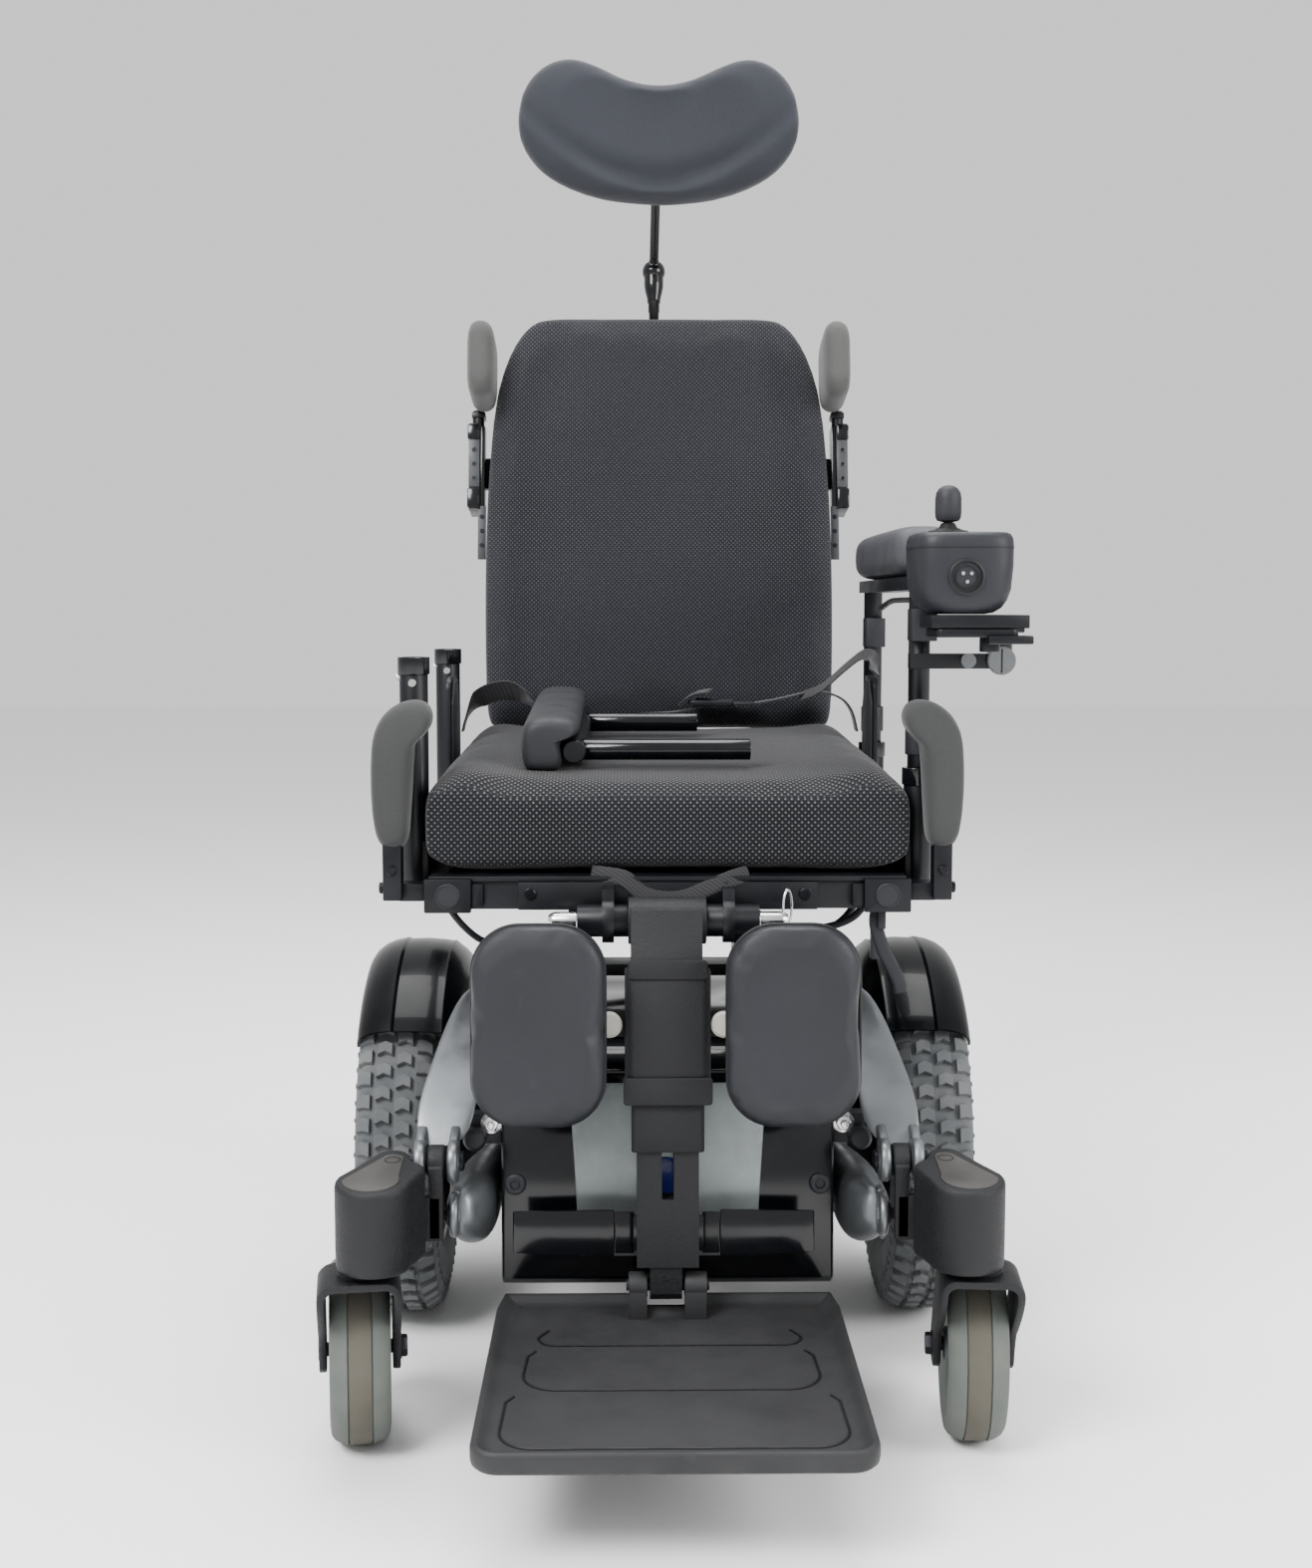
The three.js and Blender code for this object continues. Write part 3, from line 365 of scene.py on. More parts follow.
MAT = {
    "seat_mesh": dotted_fabric("seat_mesh", 0.0056, (0.0032, 0.0037, 0.0060), (0.094, 0.092, 0.088), 0.55),
    "back_mesh": dotted_fabric("back_mesh", 0.0046, (0.0076, 0.0083, 0.0118), (0.066, 0.066, 0.068), 0.5),
    "headrest_knit": knit_fabric("headrest_knit", (0.0165, 0.0180, 0.0230), 0.12),
    "pad_knit": knit_fabric("pad_knit", (0.050, 0.050, 0.049), 0.15),
    "thigh_knit": knit_fabric("thigh_knit", (0.0265, 0.0270, 0.0275), 0.12),
    "calf_vinyl": moulded_plastic("calf_vinyl", (0.0102, 0.0112, 0.0142), 0.5, 900),
    "piping": moulded_plastic("piping", (0.003, 0.003, 0.004), 0.5, 900),
    "gloss_black": gloss_paint("gloss_black", (0.0012, 0.0016, 0.0026)),
    # fender_black is gloss_black painted a little darker, with less dust and weaker specular: painted shade
    # that keeps the fenders dark under the key light.
    "fender_black": gloss_paint("fender_black", (0.0010, 0.0014, 0.0023), 0.2, 0.09, 0.05),
    "rail_black": satin_paint("rail_black", (0.0015, 0.0021, 0.0036), 0.4),
    "wrinkle_black": wrinkle_paint("wrinkle_black", (0.0028, 0.0031, 0.0042)),
    "lid_grey": satin_paint("lid_grey", (0.042, 0.040, 0.038), 0.5),
    "cast": cast_metal("cast", (0.165, 0.176, 0.185), 0.40),
    "panel": satin_paint("panel", (0.16, 0.178, 0.178), 0.32, 0.3),
    "tyre": tyre_rubber("tyre", (0.080, 0.086, 0.090), (0.15, 0.15, 0.148)),
    "caster_rubber": tyre_rubber("caster_rubber", (0.086, 0.095, 0.086), (0.115, 0.120, 0.108)),
    "caster_band": tyre_rubber("caster_band", (0.078, 0.073, 0.058), (0.060, 0.055, 0.042)),
    "rim": satin_paint("rim", (0.010, 0.010, 0.012), 0.4, 0.2),
    "hub": moulded_plastic("hub", (0.10, 0.105, 0.11), 0.45),
    "plastic": moulded_plastic("plastic", (0.0088, 0.0096, 0.0128), 0.5),
    "soft_plastic": moulded_plastic("soft_plastic", (0.0125, 0.0130, 0.0155), 0.6),
    "arm_plastic": moulded_plastic("arm_plastic", (0.040, 0.041, 0.047), 0.55),
    "foot_plastic": moulded_plastic("foot_plastic", (0.0165, 0.0168, 0.0178), 0.62, 420),
    "webbing": webbing_fabric("webbing", (0.0055, 0.0055, 0.0068)),
    "zinc": plain_metal("zinc", (0.62, 0.62, 0.63), 0.25),
    "bolt_black": plain_metal("bolt_black", (0.02, 0.02, 0.023), 0.38),
    "cream": moulded_plastic("cream", (0.36, 0.35, 0.31), 0.4),
    "badge": gloss_paint("badge", (0.006, 0.010, 0.085), 0.2),
    "blade_grey": satin_paint("blade_grey", (0.045, 0.047, 0.050), 0.45, 0.4),
}

# ---------------------------------------------------------------- mesh helpers


def loft(bm, rings, caps=True):
    """A closed skin over rings of points; every ring has the same number of points."""
    rows = [[bm.verts.new(p) for p in ring] for ring in rings]
    count = len(rows[0])
    for low, high in zip(rows, rows[1:]):
        for i in range(count):
            j = (i + 1) % count
            bm.faces.new((low[i], low[j], high[j], high[i]))
    if caps:
        bm.faces.new(rows[0])
        bm.faces.new(rows[-1])


def unit_ring(count, square_u, square_v):
    """Points (u, v) on a ring between a unit circle and a unit square."""
    for i in range(count):
        a = 2 * math.pi * (i + 0.5) / count
        c, s = math.cos(a), math.sin(a)
        yield math.copysign(abs(c) ** (2 / square_u), c), math.copysign(abs(s) ** (2 / square_v), s)


def ellipse(centre, half_u, half_v, count=16, squareness=2.0):
    """Points on a ring between a box and an ellipse, spanned by two half-axes."""
    return [centre + half_u * u + half_v * v for u, v in unit_ring(count, squareness, squareness)]


def across(direction):
    """Two unit vectors square to a direction."""
    d = direction.normalized()
    guide = Vector((0, 0, 1)) if abs(d.z) < 0.9 else Vector((1, 0, 0))
    u = d.cross(guide).normalized()
    return u, d.cross(u).normalized()


def lathe(bm, profile, origin, axis, count=32):
    """A turned solid: profile is (radius, distance along axis) in millimetres."""
    axis = Vector(axis).normalized()
    u, v = across(axis)
    rings = []
    for radius, along in profile:
        centre = origin + axis * along * MM
        if radius <= 0:
            rings.append([bm.verts.new(centre)])
            continue
        rings.append([bm.verts.new(centre + (u * math.cos(2 * math.pi * i / count) + v
            * math.sin(2 * math.pi * i / count)) * radius * MM) for i in range(count)])
    closed = len(rings[0]) > 1 and len(rings[-1]) > 1
    pairs = list(zip(rings, rings[1:])) + ([(rings[-1], rings[0])] if closed else [])
    for low, high in pairs:
        for i in range(count):
            j = (i + 1) % count
            ring = [low[i % len(low)], low[j % len(low)], high[j % len(high)], high[i % len(high)]]
            face = list(dict.fromkeys(ring))
            if len(face) > 2:
                bm.faces.new(face)


def pin(bm, start, end, radius, count=24, chamfer=0.8):
    """A round bar with chamfered ends; lengths in millimetres, ends as points."""
    axis = end - start
    length = axis.length / MM
    lathe(bm, [(0, 0), (radius - chamfer, 0), (radius, chamfer), (radius, length - chamfer),
        (radius - chamfer, length), (0, length)], start, axis, count)


def curve_points(points, per_span=8):
    """A smooth path through points, by Catmull-Rom."""
    pts = [Vector(p) for p in points]
    ends = [pts[0] * 2 - pts[1]] + pts + [pts[-1] * 2 - pts[-2]]
    path = []
    for a, b, c, d in zip(ends, ends[1:], ends[2:], ends[3:]):
        for k in range(per_span):
            t = k / per_span
            path.append(0.5 * ((2 * b) + (c - a) * t + (2 * a - 5 * b + 4 * c - d) * t ** 2
                + (3 * b - a - 3 * c + d) * t ** 3))
    path.append(pts[-1])
    return path


def sweep(bm, path, half_u, half_v, count=10, squareness=2.0, guide=None):
    """A bar along a path, with its half sizes in millimetres."""
    rings = []
    for i, p in enumerate(path):
        ahead = (path[min(i + 1, len(path) - 1)] - path[max(i - 1, 0)]).normalized()
        if guide is None:
            side = across(ahead)[0] if not rings else (last_side - ahead
                * last_side.dot(ahead)).normalized()
        else:
            side = (guide - ahead * guide.dot(ahead)).normalized()
        last_side = side
        rings.append(ellipse(p, side * half_u * MM, ahead.cross(side) * half_v * MM, count, squareness))
    loft(bm, rings)


# How a flat outline (u, v) at a height w lies in space, for each axis it is square to.
FLAT = {"X": lambda u, v, w: at(w, u, v), "Y": lambda u, v, w: at(u, w, v), "Z": lambda u, v,
    w: at(u, v, w)}


def plate(bm, outline, normal_axis, low, high):
    """A flat plate: outline in millimetres across the axis, from low to high along it."""
    place = FLAT[normal_axis]
    loft(bm, [[place(u, v, w) for u, v in outline] for w in (low, high)])


def centroid(outline):
    return sum(u for u, v in outline) / len(outline), sum(v for u, v in outline) / len(outline)


def arc(cu, cv, radius, start, stop, steps=8):
    return [(cu + radius * math.cos(math.radians(start + (stop - start) * i / steps)),
        cv + radius * math.sin(math.radians(start + (stop - start) * i / steps))) for i in range(steps + 1)]


def rounded(u0, u1, v0, v1, r, steps=6):
    return (arc(u1 - r, v0 + r, r, -90, 0, steps) + arc(u1 - r, v1 - r, r, 0, 90, steps) + arc(u0 + r,
        v1 - r, r, 90, 180, steps) + arc(u0 + r, v0 + r, r, 180, 270, steps))


def block(bm, low, high):
    """A box between two corners in millimetres."""
    (x0, y0, z0), (x1, y1, z1) = low, high
    plate(bm, [(x0, y0), (x1, y0), (x1, y1), (x0, y1)], "Z", z0, z1)


def apply_modifiers(obj):
    bpy.context.view_layer.update()
    graph = bpy.context.evaluated_depsgraph_get()
    baked = bpy.data.meshes.new_from_object(obj.evaluated_get(graph))
    obj.modifiers.clear()
    obj.data = baked


def piece(name, bm, body, material, replaces=(), bevel=0.0, subdivide=0, angle=35, turn=None):
    """Turns a bmesh into a finished piece that rides on a CAD body."""
    bmesh.ops.remove_doubles(bm, verts=bm.verts, dist=1e-6)
    bmesh.ops.recalc_face_normals(bm, faces=bm.faces)
    if turn is not None:
        bm.transform(turn)
    mesh = bpy.data.meshes.new(name)
    bm.to_mesh(mesh)
    bm.free()
    obj = bpy.data.objects.new(name, mesh)
    bpy.context.scene.collection.objects.link(obj)
    if bevel:
        made = obj.modifiers.new("bevel", "BEVEL")
        made.width = bevel * MM
        made.segments = 2
        made.limit_method = "ANGLE"
        made.angle_limit = math.radians(angle)
        made.harden_normals = False
    if subdivide:
        made = obj.modifiers.new("subdivide", "SUBSURF")
        made.levels = made.render_levels = subdivide
    if obj.modifiers:
        apply_modifiers(obj)
    obj.data.materials.clear()
    obj.data.materials.append(MAT[material])
    smooth_by_angle(obj.data, 180 if subdivide else angle)
    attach(obj, body)
    if replaces:
        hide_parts(*replaces)
    return obj


def smooth_by_angle(mesh, angle):
    mesh.polygons.foreach_set("use_smooth", [True] * len(mesh.polygons))
    if angle < 180:
        mesh.set_sharp_from_angle(angle=math.radians(angle))
    mesh.update()


def lean(origin_y, origin_z, degrees):
    """The turn of a group whose +Z leans by an angle about a line along X, as in the CAD."""
    pivot = at(0, origin_y, origin_z)
    return Matrix.Translation(pivot) @ Matrix.Rotation(math.radians(degrees), 4,
        "X") @ Matrix.Translation(-at(0, 0, 0))


def carried(node, material, bevel=0.8, angle=40):
    """A CAD node's own shape with its edges rounded, as a piece in its place."""
    source = frame["nodes"][node]
    bm = bmesh.new()
    bm.from_mesh(source.data)
    bmesh.ops.remove_doubles(bm, verts=bm.verts, dist=1e-5)
    bmesh.ops.dissolve_limit(bm, angle_limit=math.radians(2), verts=bm.verts, edges=bm.edges)
    return piece(node + "_shape", bm, source["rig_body"], material, (node,), bevel, angle=angle)


CLOTH_PRESSURE, CLOTH_FRAMES = 4.0, 20


def inflate(obj, cap, voxel):
    """Swells a closed fabric form as cloth under pressure, then keeps the result on the mesh."""
    rest = obj.modifiers.new("voxels", "REMESH")
    rest.mode = "VOXEL"
    rest.voxel_size = voxel
    apply_modifiers(obj)
    start = [v.co.copy() for v in obj.data.vertices]
    cloth = obj.modifiers.new("cloth", "CLOTH")
    cloth.settings.use_pressure = True
    cloth.settings.uniform_pressure_force = CLOTH_PRESSURE
    cloth.settings.effector_weights.gravity = 0
    cloth.settings.tension_stiffness = 25
    cloth.settings.bending_stiffness = 2
    cloth.settings.quality = 4
    cloth.point_cache.frame_start = 1
    cloth.point_cache.frame_end = CLOTH_FRAMES
    scene = bpy.context.scene
    for number in range(1, CLOTH_FRAMES + 1):
        scene.frame_set(number)
    graph = bpy.context.evaluated_depsgraph_get()
    swollen = [v.co.copy() for v in obj.evaluated_get(graph).to_mesh().vertices]
    obj.modifiers.clear()
    scene.frame_set(1)
    for vertex, a, b in zip(obj.data.vertices, start, swollen):
        move = b - a
        if move.length > cap * MM:
            move *= cap * MM / move.length
        vertex.co = a + move
    obj.data.update()


def fit(obj, x=None, y=None, z=None):
    """Brings a swollen form to the size its cover is sewn to, each way in millimetres."""
    for axis, span in enumerate((x, y, z)):
        if not span:
            continue
        shift = AXLE_Y if axis == 1 else 0
        low, high = (edge * MM + shift for edge in span)
        places = [vertex.co[axis] for vertex in obj.data.vertices]
        start, size = min(places), max(places) - min(places)
        for vertex, place in zip(obj.data.vertices, places):
            vertex.co[axis] = low + (place - start) / size * (high - low)


# ---------------------------------------------------------------- frames that lean, as in the CAD

BACK = lean(168, 602, -11)
LEG = lean(*LEG_PIVOT, -4)
FOOT = LEG @ lean(-12, -307, 7.4)
LOOSE_ARM = lean(0, 583, 2.8)
PANEL = lean(-278.88, 292, -3.95)


def bump_curve(x, centre, width):
    return math.exp(-((x - centre) / width) ** 2)


# ---------------------------------------------------------------- seat cushion

SOFT_COUNT = 64


def seat_top(x, y):
    """Height of the seat's top at rest: troughs for the legs, a pommel between, raised sides."""
    t = (y + 277) / 463
    front = max(0.0, 1 - t * 1.6)
    shape = 5.5 * bump_curve(x, 0, 46) * front - 6.5 * (bump_curve(x, -92, 52) + bump_curve(x, 92,
        52)) * (0.5 + front)
    return 546 + 22 * t + shape + 5 * bump_curve(abs(x), 178, 30)


def seat_cushion():
    """A block cushion with a contoured top and softened edges."""
    bm = bmesh.new()
    rings = []
    stations = [(0, 0.97, 0.66), (2.5, 0.985, 0.80), (8, 0.996, 0.91), (20, 1.0, 0.98), (44, 1.0, 1.0),
        (120, 1.0, 1.0), (190, 0.995, 1.0), (260, 0.985, 1.0), (330, 0.975, 1.0), (400, 0.968, 1.0),
        (440, 0.955, 0.97), (456, 0.93, 0.86), (462, 0.88, 0.6)]
    for along, wide, tall in stations:
        y = -275 + along
        half = 208 * wide
        bottom = 477
        ring = []
        for u, v in unit_ring(SOFT_COUNT, 11, 8):
            top = seat_top(u * half, y)
            middle = bottom + (top - bottom) * 0.5
            reach = (top - bottom) * 0.5 * (tall if v > 0 else 1.0)
            ring.append(at(u * half, y, middle + v * reach))
        rings.append(ring)
    loft(bm, rings)
    obj = piece("seat_cushion_cover", bm, "seat", "seat_mesh", ("seat_cushion",), subdivide=1)
    inflate(obj, 7, 0.006)
    fit(obj, x=(-209, 210), y=(-281, 187), z=(474.5, 578))
    finish_soft(obj, "seat_mesh", 1, ((-211, 211), (-283, 189), (474.5, 580)))


def finish_soft(obj, material, levels, limits=None):
    """Smooths a swollen form, keeps it clear of what it stands on and gives it its fabric."""
    smooth = obj.modifiers.new("smooth", "SMOOTH")
    smooth.factor = 0.6
    smooth.iterations = 3
    if levels:
        made = obj.modifiers.new("subdivide", "SUBSURF")
        made.levels = made.render_levels = levels
    apply_modifiers(obj)
    if limits:
        (x0, x1), (y0, y1), (z0, z1) = limits
        low, high = at(x0, y0, z0), at(x1, y1, z1)
        for vertex in obj.data.vertices:
            vertex.co = Vector(max(l, min(h, c)) for l, c, h in zip(low, vertex.co, high))
    obj.data.materials.clear()
    obj.data.materials.append(MAT[material])
    smooth_by_angle(obj.data, 180)


def pull_loop():
    """The textile loop under the front of the cushion."""
    bm = bmesh.new()
    path = curve_points([at(-66, -276, 474), at(-52, -281, 473), at(-36, -284, 470), at(-22, -285, 458),
        at(-6, -285, 453), at(14, -285, 454), at(36, -285, 463), at(54, -283, 470), at(70, -278, 474)], 6)
    sweep(bm, path, 7.5, 1.6, 10, 5.0, guide=Vector((0, 0.35, 1)))
    piece("cushion_pull_loop", bm, "seat", "webbing", subdivide=1)


# ---------------------------------------------------------------- back cushion

BACK_STATIONS = [(-20, 176), (-14, 183), (0, 186), (60, 188), (120, 189), (190, 188.5), (260, 185.5),
    (310, 181), (345, 176), (372, 168), (394, 158.5), (410, 148), (420, 138), (427, 122)]


def back_cushion():
    """A tall cushion with side bolsters set off by a shallow valley."""
    bm = bmesh.new()
    rings = []
    last = len(BACK_STATIONS) - 1
    for k, (h, half) in enumerate(BACK_STATIONS):
        thick = {0: 0.5, 1: 0.85, last: 0.4, last - 1: 0.72, last - 2: 0.9, last - 3: 0.97}.get(k, 1.0)
        reach = 26 * thick
        ring = []
        for u, v in unit_ring(SOFT_COUNT, 6, 3.6):
            x = u * half
            y = 28 + v * reach
            if v < 0:
                valley = 10 * bump_curve(abs(u), 0.70, 0.10)
                side = 5 * bump_curve(abs(u), 0.90, 0.10)
                fade = min(1.0, max(0.0, h + 20) / 60) * min(1.0, max(0.0, (420 - h) / 70))
                y += (valley - side) * fade * -v
            ring.append(at(x, y, h))
        rings.append(ring)
    loft(bm, rings)
    obj = piece("back_cushion_cover", bm, "back", "back_mesh", ("back_cushion",), subdivide=1)
    inflate(obj, 6, 0.006)
    fit(obj, x=(-190, 190), y=(-2, 53.4), z=(-28, 430))
    finish_soft(obj, "back_mesh", 1, ((-192, 192), (-3, 53.4), (-29, 431)))
    obj.data.transform(BACK)


# ---------------------------------------------------------------- headrest

HEADREST_HALF = [(0, 1264), (16, 1265), (31, 1268), (47, 1273), (62, 1277.5), (78, 1281.5), (93, 1283),
    (108, 1281), (122, 1273), (134, 1261), (141.5, 1246), (145, 1229), (145, 1213), (141, 1197),
    (133, 1183), (122, 1171), (108, 1161.5), (92, 1154), (74, 1147.5), (55, 1143), (38, 1141), (20, 1140)]


def headrest_pad():
    """A kidney-shaped pad with a crease across its lower front, and its mounting disc."""
    outline = HEADREST_HALF + [(-x, z) for x, z in reversed(HEADREST_HALF[1:])]
    cz = 1212
    bm = bmesh.new()
    rings = []
    for y, scale in ((214, 0.72), (211, 0.86), (215, 0.95), (223, 0.99), (236, 1.0), (250, 0.97),
            (258, 0.88), (261, 0.7)):
        rings.append([at(x * scale, y - 1.0, cz + (z - cz) * scale + (1 - scale) * 4) for x, z in outline])
    rings.insert(0, [at(x * 0.42, 217, cz + (z - cz) * 0.42 + 3) for x, z in outline])
    rings.append([at(x * 0.4, 262, cz + (z - cz) * 0.4) for x, z in outline])
    loft(bm, rings)
    obj = piece("headrest_cover", bm, "headrest", "headrest_knit", ("headrest_pad",), subdivide=1)
    inflate(obj, 7, 0.005)
    fit(obj, x=(-152, 152), y=(203, 264), z=(1135, 1287))
    for vertex in obj.data.vertices:
        x, y, z = vertex.co.x / MM, (vertex.co.y - AXLE_Y) / MM, vertex.co.z / MM
        if y > 238:
            continue
        crease = 1157 + (x / 100) ** 2 * 34
        inside = max(0.0, min(1.0, (250 - y) / 20)) * max(0.25, 1 - (x / 150) ** 2)
        vertex.co.y += 12 * MM * bump_curve(z, crease + 3, 11) * inside
        vertex.co.y -= 6 * MM * bump_curve(z, crease - 12, 8) * inside
        vertex.co.y += 6.0 * MM * bump_curve(x, 0, 46) * bump_curve(z, 1236, 60) * inside
    finish_soft(obj, "headrest_knit", 1, ((-154, 154), (201, 266), (1133, 1289)))
    bm = bmesh.new()
    lathe(bm, [(0, 0), (31, 0), (33, 2), (33, 5), (0, 5)], at(-2, 262, 1196), (0, 1, 0), 32)
    pin(bm, at(-18, 266, 1180), at(-18, 269, 1180), 3.5)
    pin(bm, at(14, 266, 1180), at(14, 269, 1180), 3.5)
    piece("headrest_mount_disc", bm, "headrest", "rail_black", bevel=0.6)


# ---------------------------------------------------------------- small pads

PAD_VOXEL = 0.0035


def cushion_plate(name, outline, axis, low, high, body, material, replaces, turn=None, cap=5, rounding=0.82,
        limits=None):
    """A pad with a soft rounded edge, swollen between two flat faces."""
    cu, cv = centroid(outline)
    span = high - low
    bm = bmesh.new()
    rings = []
    reach = max(abs(u - cu) for u, v in outline) + max(abs(v - cv) for u, v in outline)
    step = span * (1 - rounding) / (reach / 2) * 2
    for t, inset in ((0.0, 1.3), (0.02, 0.75), (0.10, 0.28), (0.3, 0.04), (0.7, 0.04), (0.9, 0.28),
            (0.98, 0.75), (1.0, 1.3)):
        scale = 1 - inset * step
        rings.append([FLAT[axis](cu + (u - cu) * scale, cv + (v - cv) * scale, low + span * t)
            for u, v in outline])
    loft(bm, rings)
    obj = piece(name, bm, body, material, replaces, subdivide=1)
    inflate(obj, cap, PAD_VOXEL)
    finish_soft(obj, material, 0, limits)
    if turn is not None:
        obj.data.transform(turn)
    return obj


def resample(outline, spacing):
    """The same closed outline with evenly spaced points."""
    points = []
    closed = outline + [outline[0]]
    for (u0, v0), (u1, v1) in zip(closed, closed[1:]):
        steps = max(1, round(math.hypot(u1 - u0, v1 - v0) / spacing))
        points += [(u0 + (u1 - u0) * i / steps, v0 + (v1 - v0) * i / steps) for i in range(steps)]
    return points


def lateral_supports():
    """Trunk pads on stems, with hinge blocks and drilled brackets on the back."""
    outline = (arc(-26, 391, 21, 90, 180) + arc(-26, 347, 21, 180, 270) + arc(32, 347, 21, 270,
        360) + arc(32, 391, 21, 0, 90))
    for s, side in SIDES:
        low, high = sorted((s * 178, s * 208))
        cushion_plate(f"lateral_pad_{side}", resample(outline, 8), "X", low, high, f"lateral_{side}",
            "pad_knit", (f"lateral_support_{side}",), BACK, cap=4, rounding=0.66,
            limits=((low - 2, high + 2), (-49, 55), (324, 414)))
        bm = bmesh.new()
        pin(bm, at(s * 200, 44, 313.5), at(s * 200, 44, 331), 6.6)
        block(bm, (s * 192, 36, 322), (s * 207, 54, 328))
        piece(f"lateral_stem_{side}", bm, f"lateral_{side}", "rail_black", bevel=0.6, turn=BACK)
        bm = bmesh.new()
        for low_z, high_z in ((295, 312), (218, 240)):
            block(bm, (s * 198, 26.5, low_z), (s * 211, 46, high_z))
        block(bm, (s * 191.5, 30, 217), (s * 197.5, 52, 311))
        piece(f"lateral_hinge_blocks_{side}", bm, "back", "gloss_black", bevel=1.6, turn=BACK)
        bm = bmesh.new()
        block(bm, (s * 197.5, 26.8, 241), (s * 209.5, 28.6, 294))
        block(bm, (s * 190, 29.5, 160), (s * 199, 31, 220))
        for z in (251, 267, 283):
            lathe(bm, [(0, 0), (3.1, 0), (3.1, 0.7), (0, 0.7)], at(s * 203.5, 26.2, z), (0, 1, 0), 20)
        piece(f"lateral_bracket_{side}", bm, "back", "blade_grey", bevel=0.4, turn=BACK)
        # The drilled holes are dark discs set in the brackets: painted shade inside the holes.
        bm = bmesh.new()
        for z in (251, 267, 283):
            pin(bm, at(s * 203.5, 25.9, z), at(s * 203.5, 27.5, z), 2.1, 16, 0.3)
        for z in (176, 192, 208):
            pin(bm, at(s * 194.5, 28.6, z), at(s * 194.5, 30, z), 2.4, 16, 0.4)
        piece(f"lateral_bracket_holes_{side}", bm, "back", "bolt_black", turn=BACK)


THIGH = [(205, 623), (214, 624.5), (225, 623), (235, 617.5), (243, 610), (249, 599), (252, 586), (253, 565),
    (253, 545), (252, 524), (249, 505), (244, 496), (236, 493.5), (228, 494), (222.5, 499), (221, 507),
    (220.5, 530), (220, 552), (219, 572), (215, 588), (204, 597), (199.5, 604), (199, 614)]


def thigh_supports():
    """Curved side pads at the cushion's front corners, each on a bracket."""
    for s, side in SIDES:
        outline = [(s * x, z) for x, z in THIGH]
        cushion_plate(f"thigh_pad_{side}", resample(outline, 6), "Y", -295.5, -252.5, "seat", "thigh_knit",
            (f"thigh_support_{side}",), cap=2.5, rounding=0.83, limits=((s * 225.5 - 30, s * 225.5 + 30),
            (-298, -250), (490, 628)))
        bm = bmesh.new()
        block(bm, (s * 227, -287, 452), (s * 243, -267, 501))
        block(bm, (s * 208.4, -279.5, 450.5), (s * 230, -256.5, 465.5))
        piece(f"thigh_bracket_{side}", bm, "seat", "rail_black", bevel=1.2)
        bm = bmesh.new()
        pin(bm, at(s * 235, -290.5, 478), at(s * 235, -286, 478), 4.2)
        pin(bm, at(s * 243, -277, 462), at(s * 247, -277, 462), 5)
        piece(f"thigh_bracket_bolts_{side}", bm, "seat", "bolt_black")


def calf_pads():
    """Two pads with a piped edge, each on a plate behind."""
    for side, xa, xb in (("right", -163, -52), ("left", 46, 157)):
        outline = rounded(xa, xb, -164, 3, 40, 9)
        cushion_plate(f"calf_cover_{side}", resample(outline, 9), "Y", -77.5, -54.5, "leg", "calf_vinyl",
            (f"calf_pad_{side}",), LEG, cap=3.5, rounding=0.86,
            limits=((xa - 1, xb + 1), (-80, -54.2), (-166, 5)))
        bm = bmesh.new()
        inner = rounded(xa + 1.2, xb - 1.2, -162.8, 1.8, 39, 12)
        path = [at(u, -59.5, v) for u, v in inner]
        rows = []
        for i, p in enumerate(path):
            ahead = (path[(i + 1) % len(path)] - path[i - 1]).normalized()
            side_way = ahead.cross(Vector((0, 1, 0)))
            rows.append([bm.verts.new(p + (side_way * math.cos(a) + Vector((0, 1, 0)) * math.sin(a)) * 1.9
                * MM) for a in (2 * math.pi * k / 8 for k in range(8))])
        for row, following in zip(rows, rows[1:] + rows[:1]):
            for i in range(8):
                j = (i + 1) % 8
                bm.faces.new((row[i], row[j], following[j], following[i]))
        piece(f"calf_piping_{side}", bm, "leg", "piping", subdivide=1, turn=LEG)
        bm = bmesh.new()
        x = (xa + xb) / 2
        plate(bm, rounded(x - 22, x + 22, -112, -58, 8), "Y", -54.2, -51)
        block(bm, (x - 9, -52, -94), (x + 9, -45, -76))
        piece(f"calf_back_plate_{side}", bm, "leg", "rail_black", bevel=0.8, turn=LEG)


def tube_skin(bm, stations, count=28, squareness=3.2):
    """A rounded bar along Y from (x, y, z, half width, half height) stations."""
    rings = [ellipse(at(x, y, z), Vector((hw, 0, 0)) * MM, Vector((0, 0, hh)) * MM, count, squareness)
        for x, y, z, hw, hh in stations]
    loft(bm, rings)


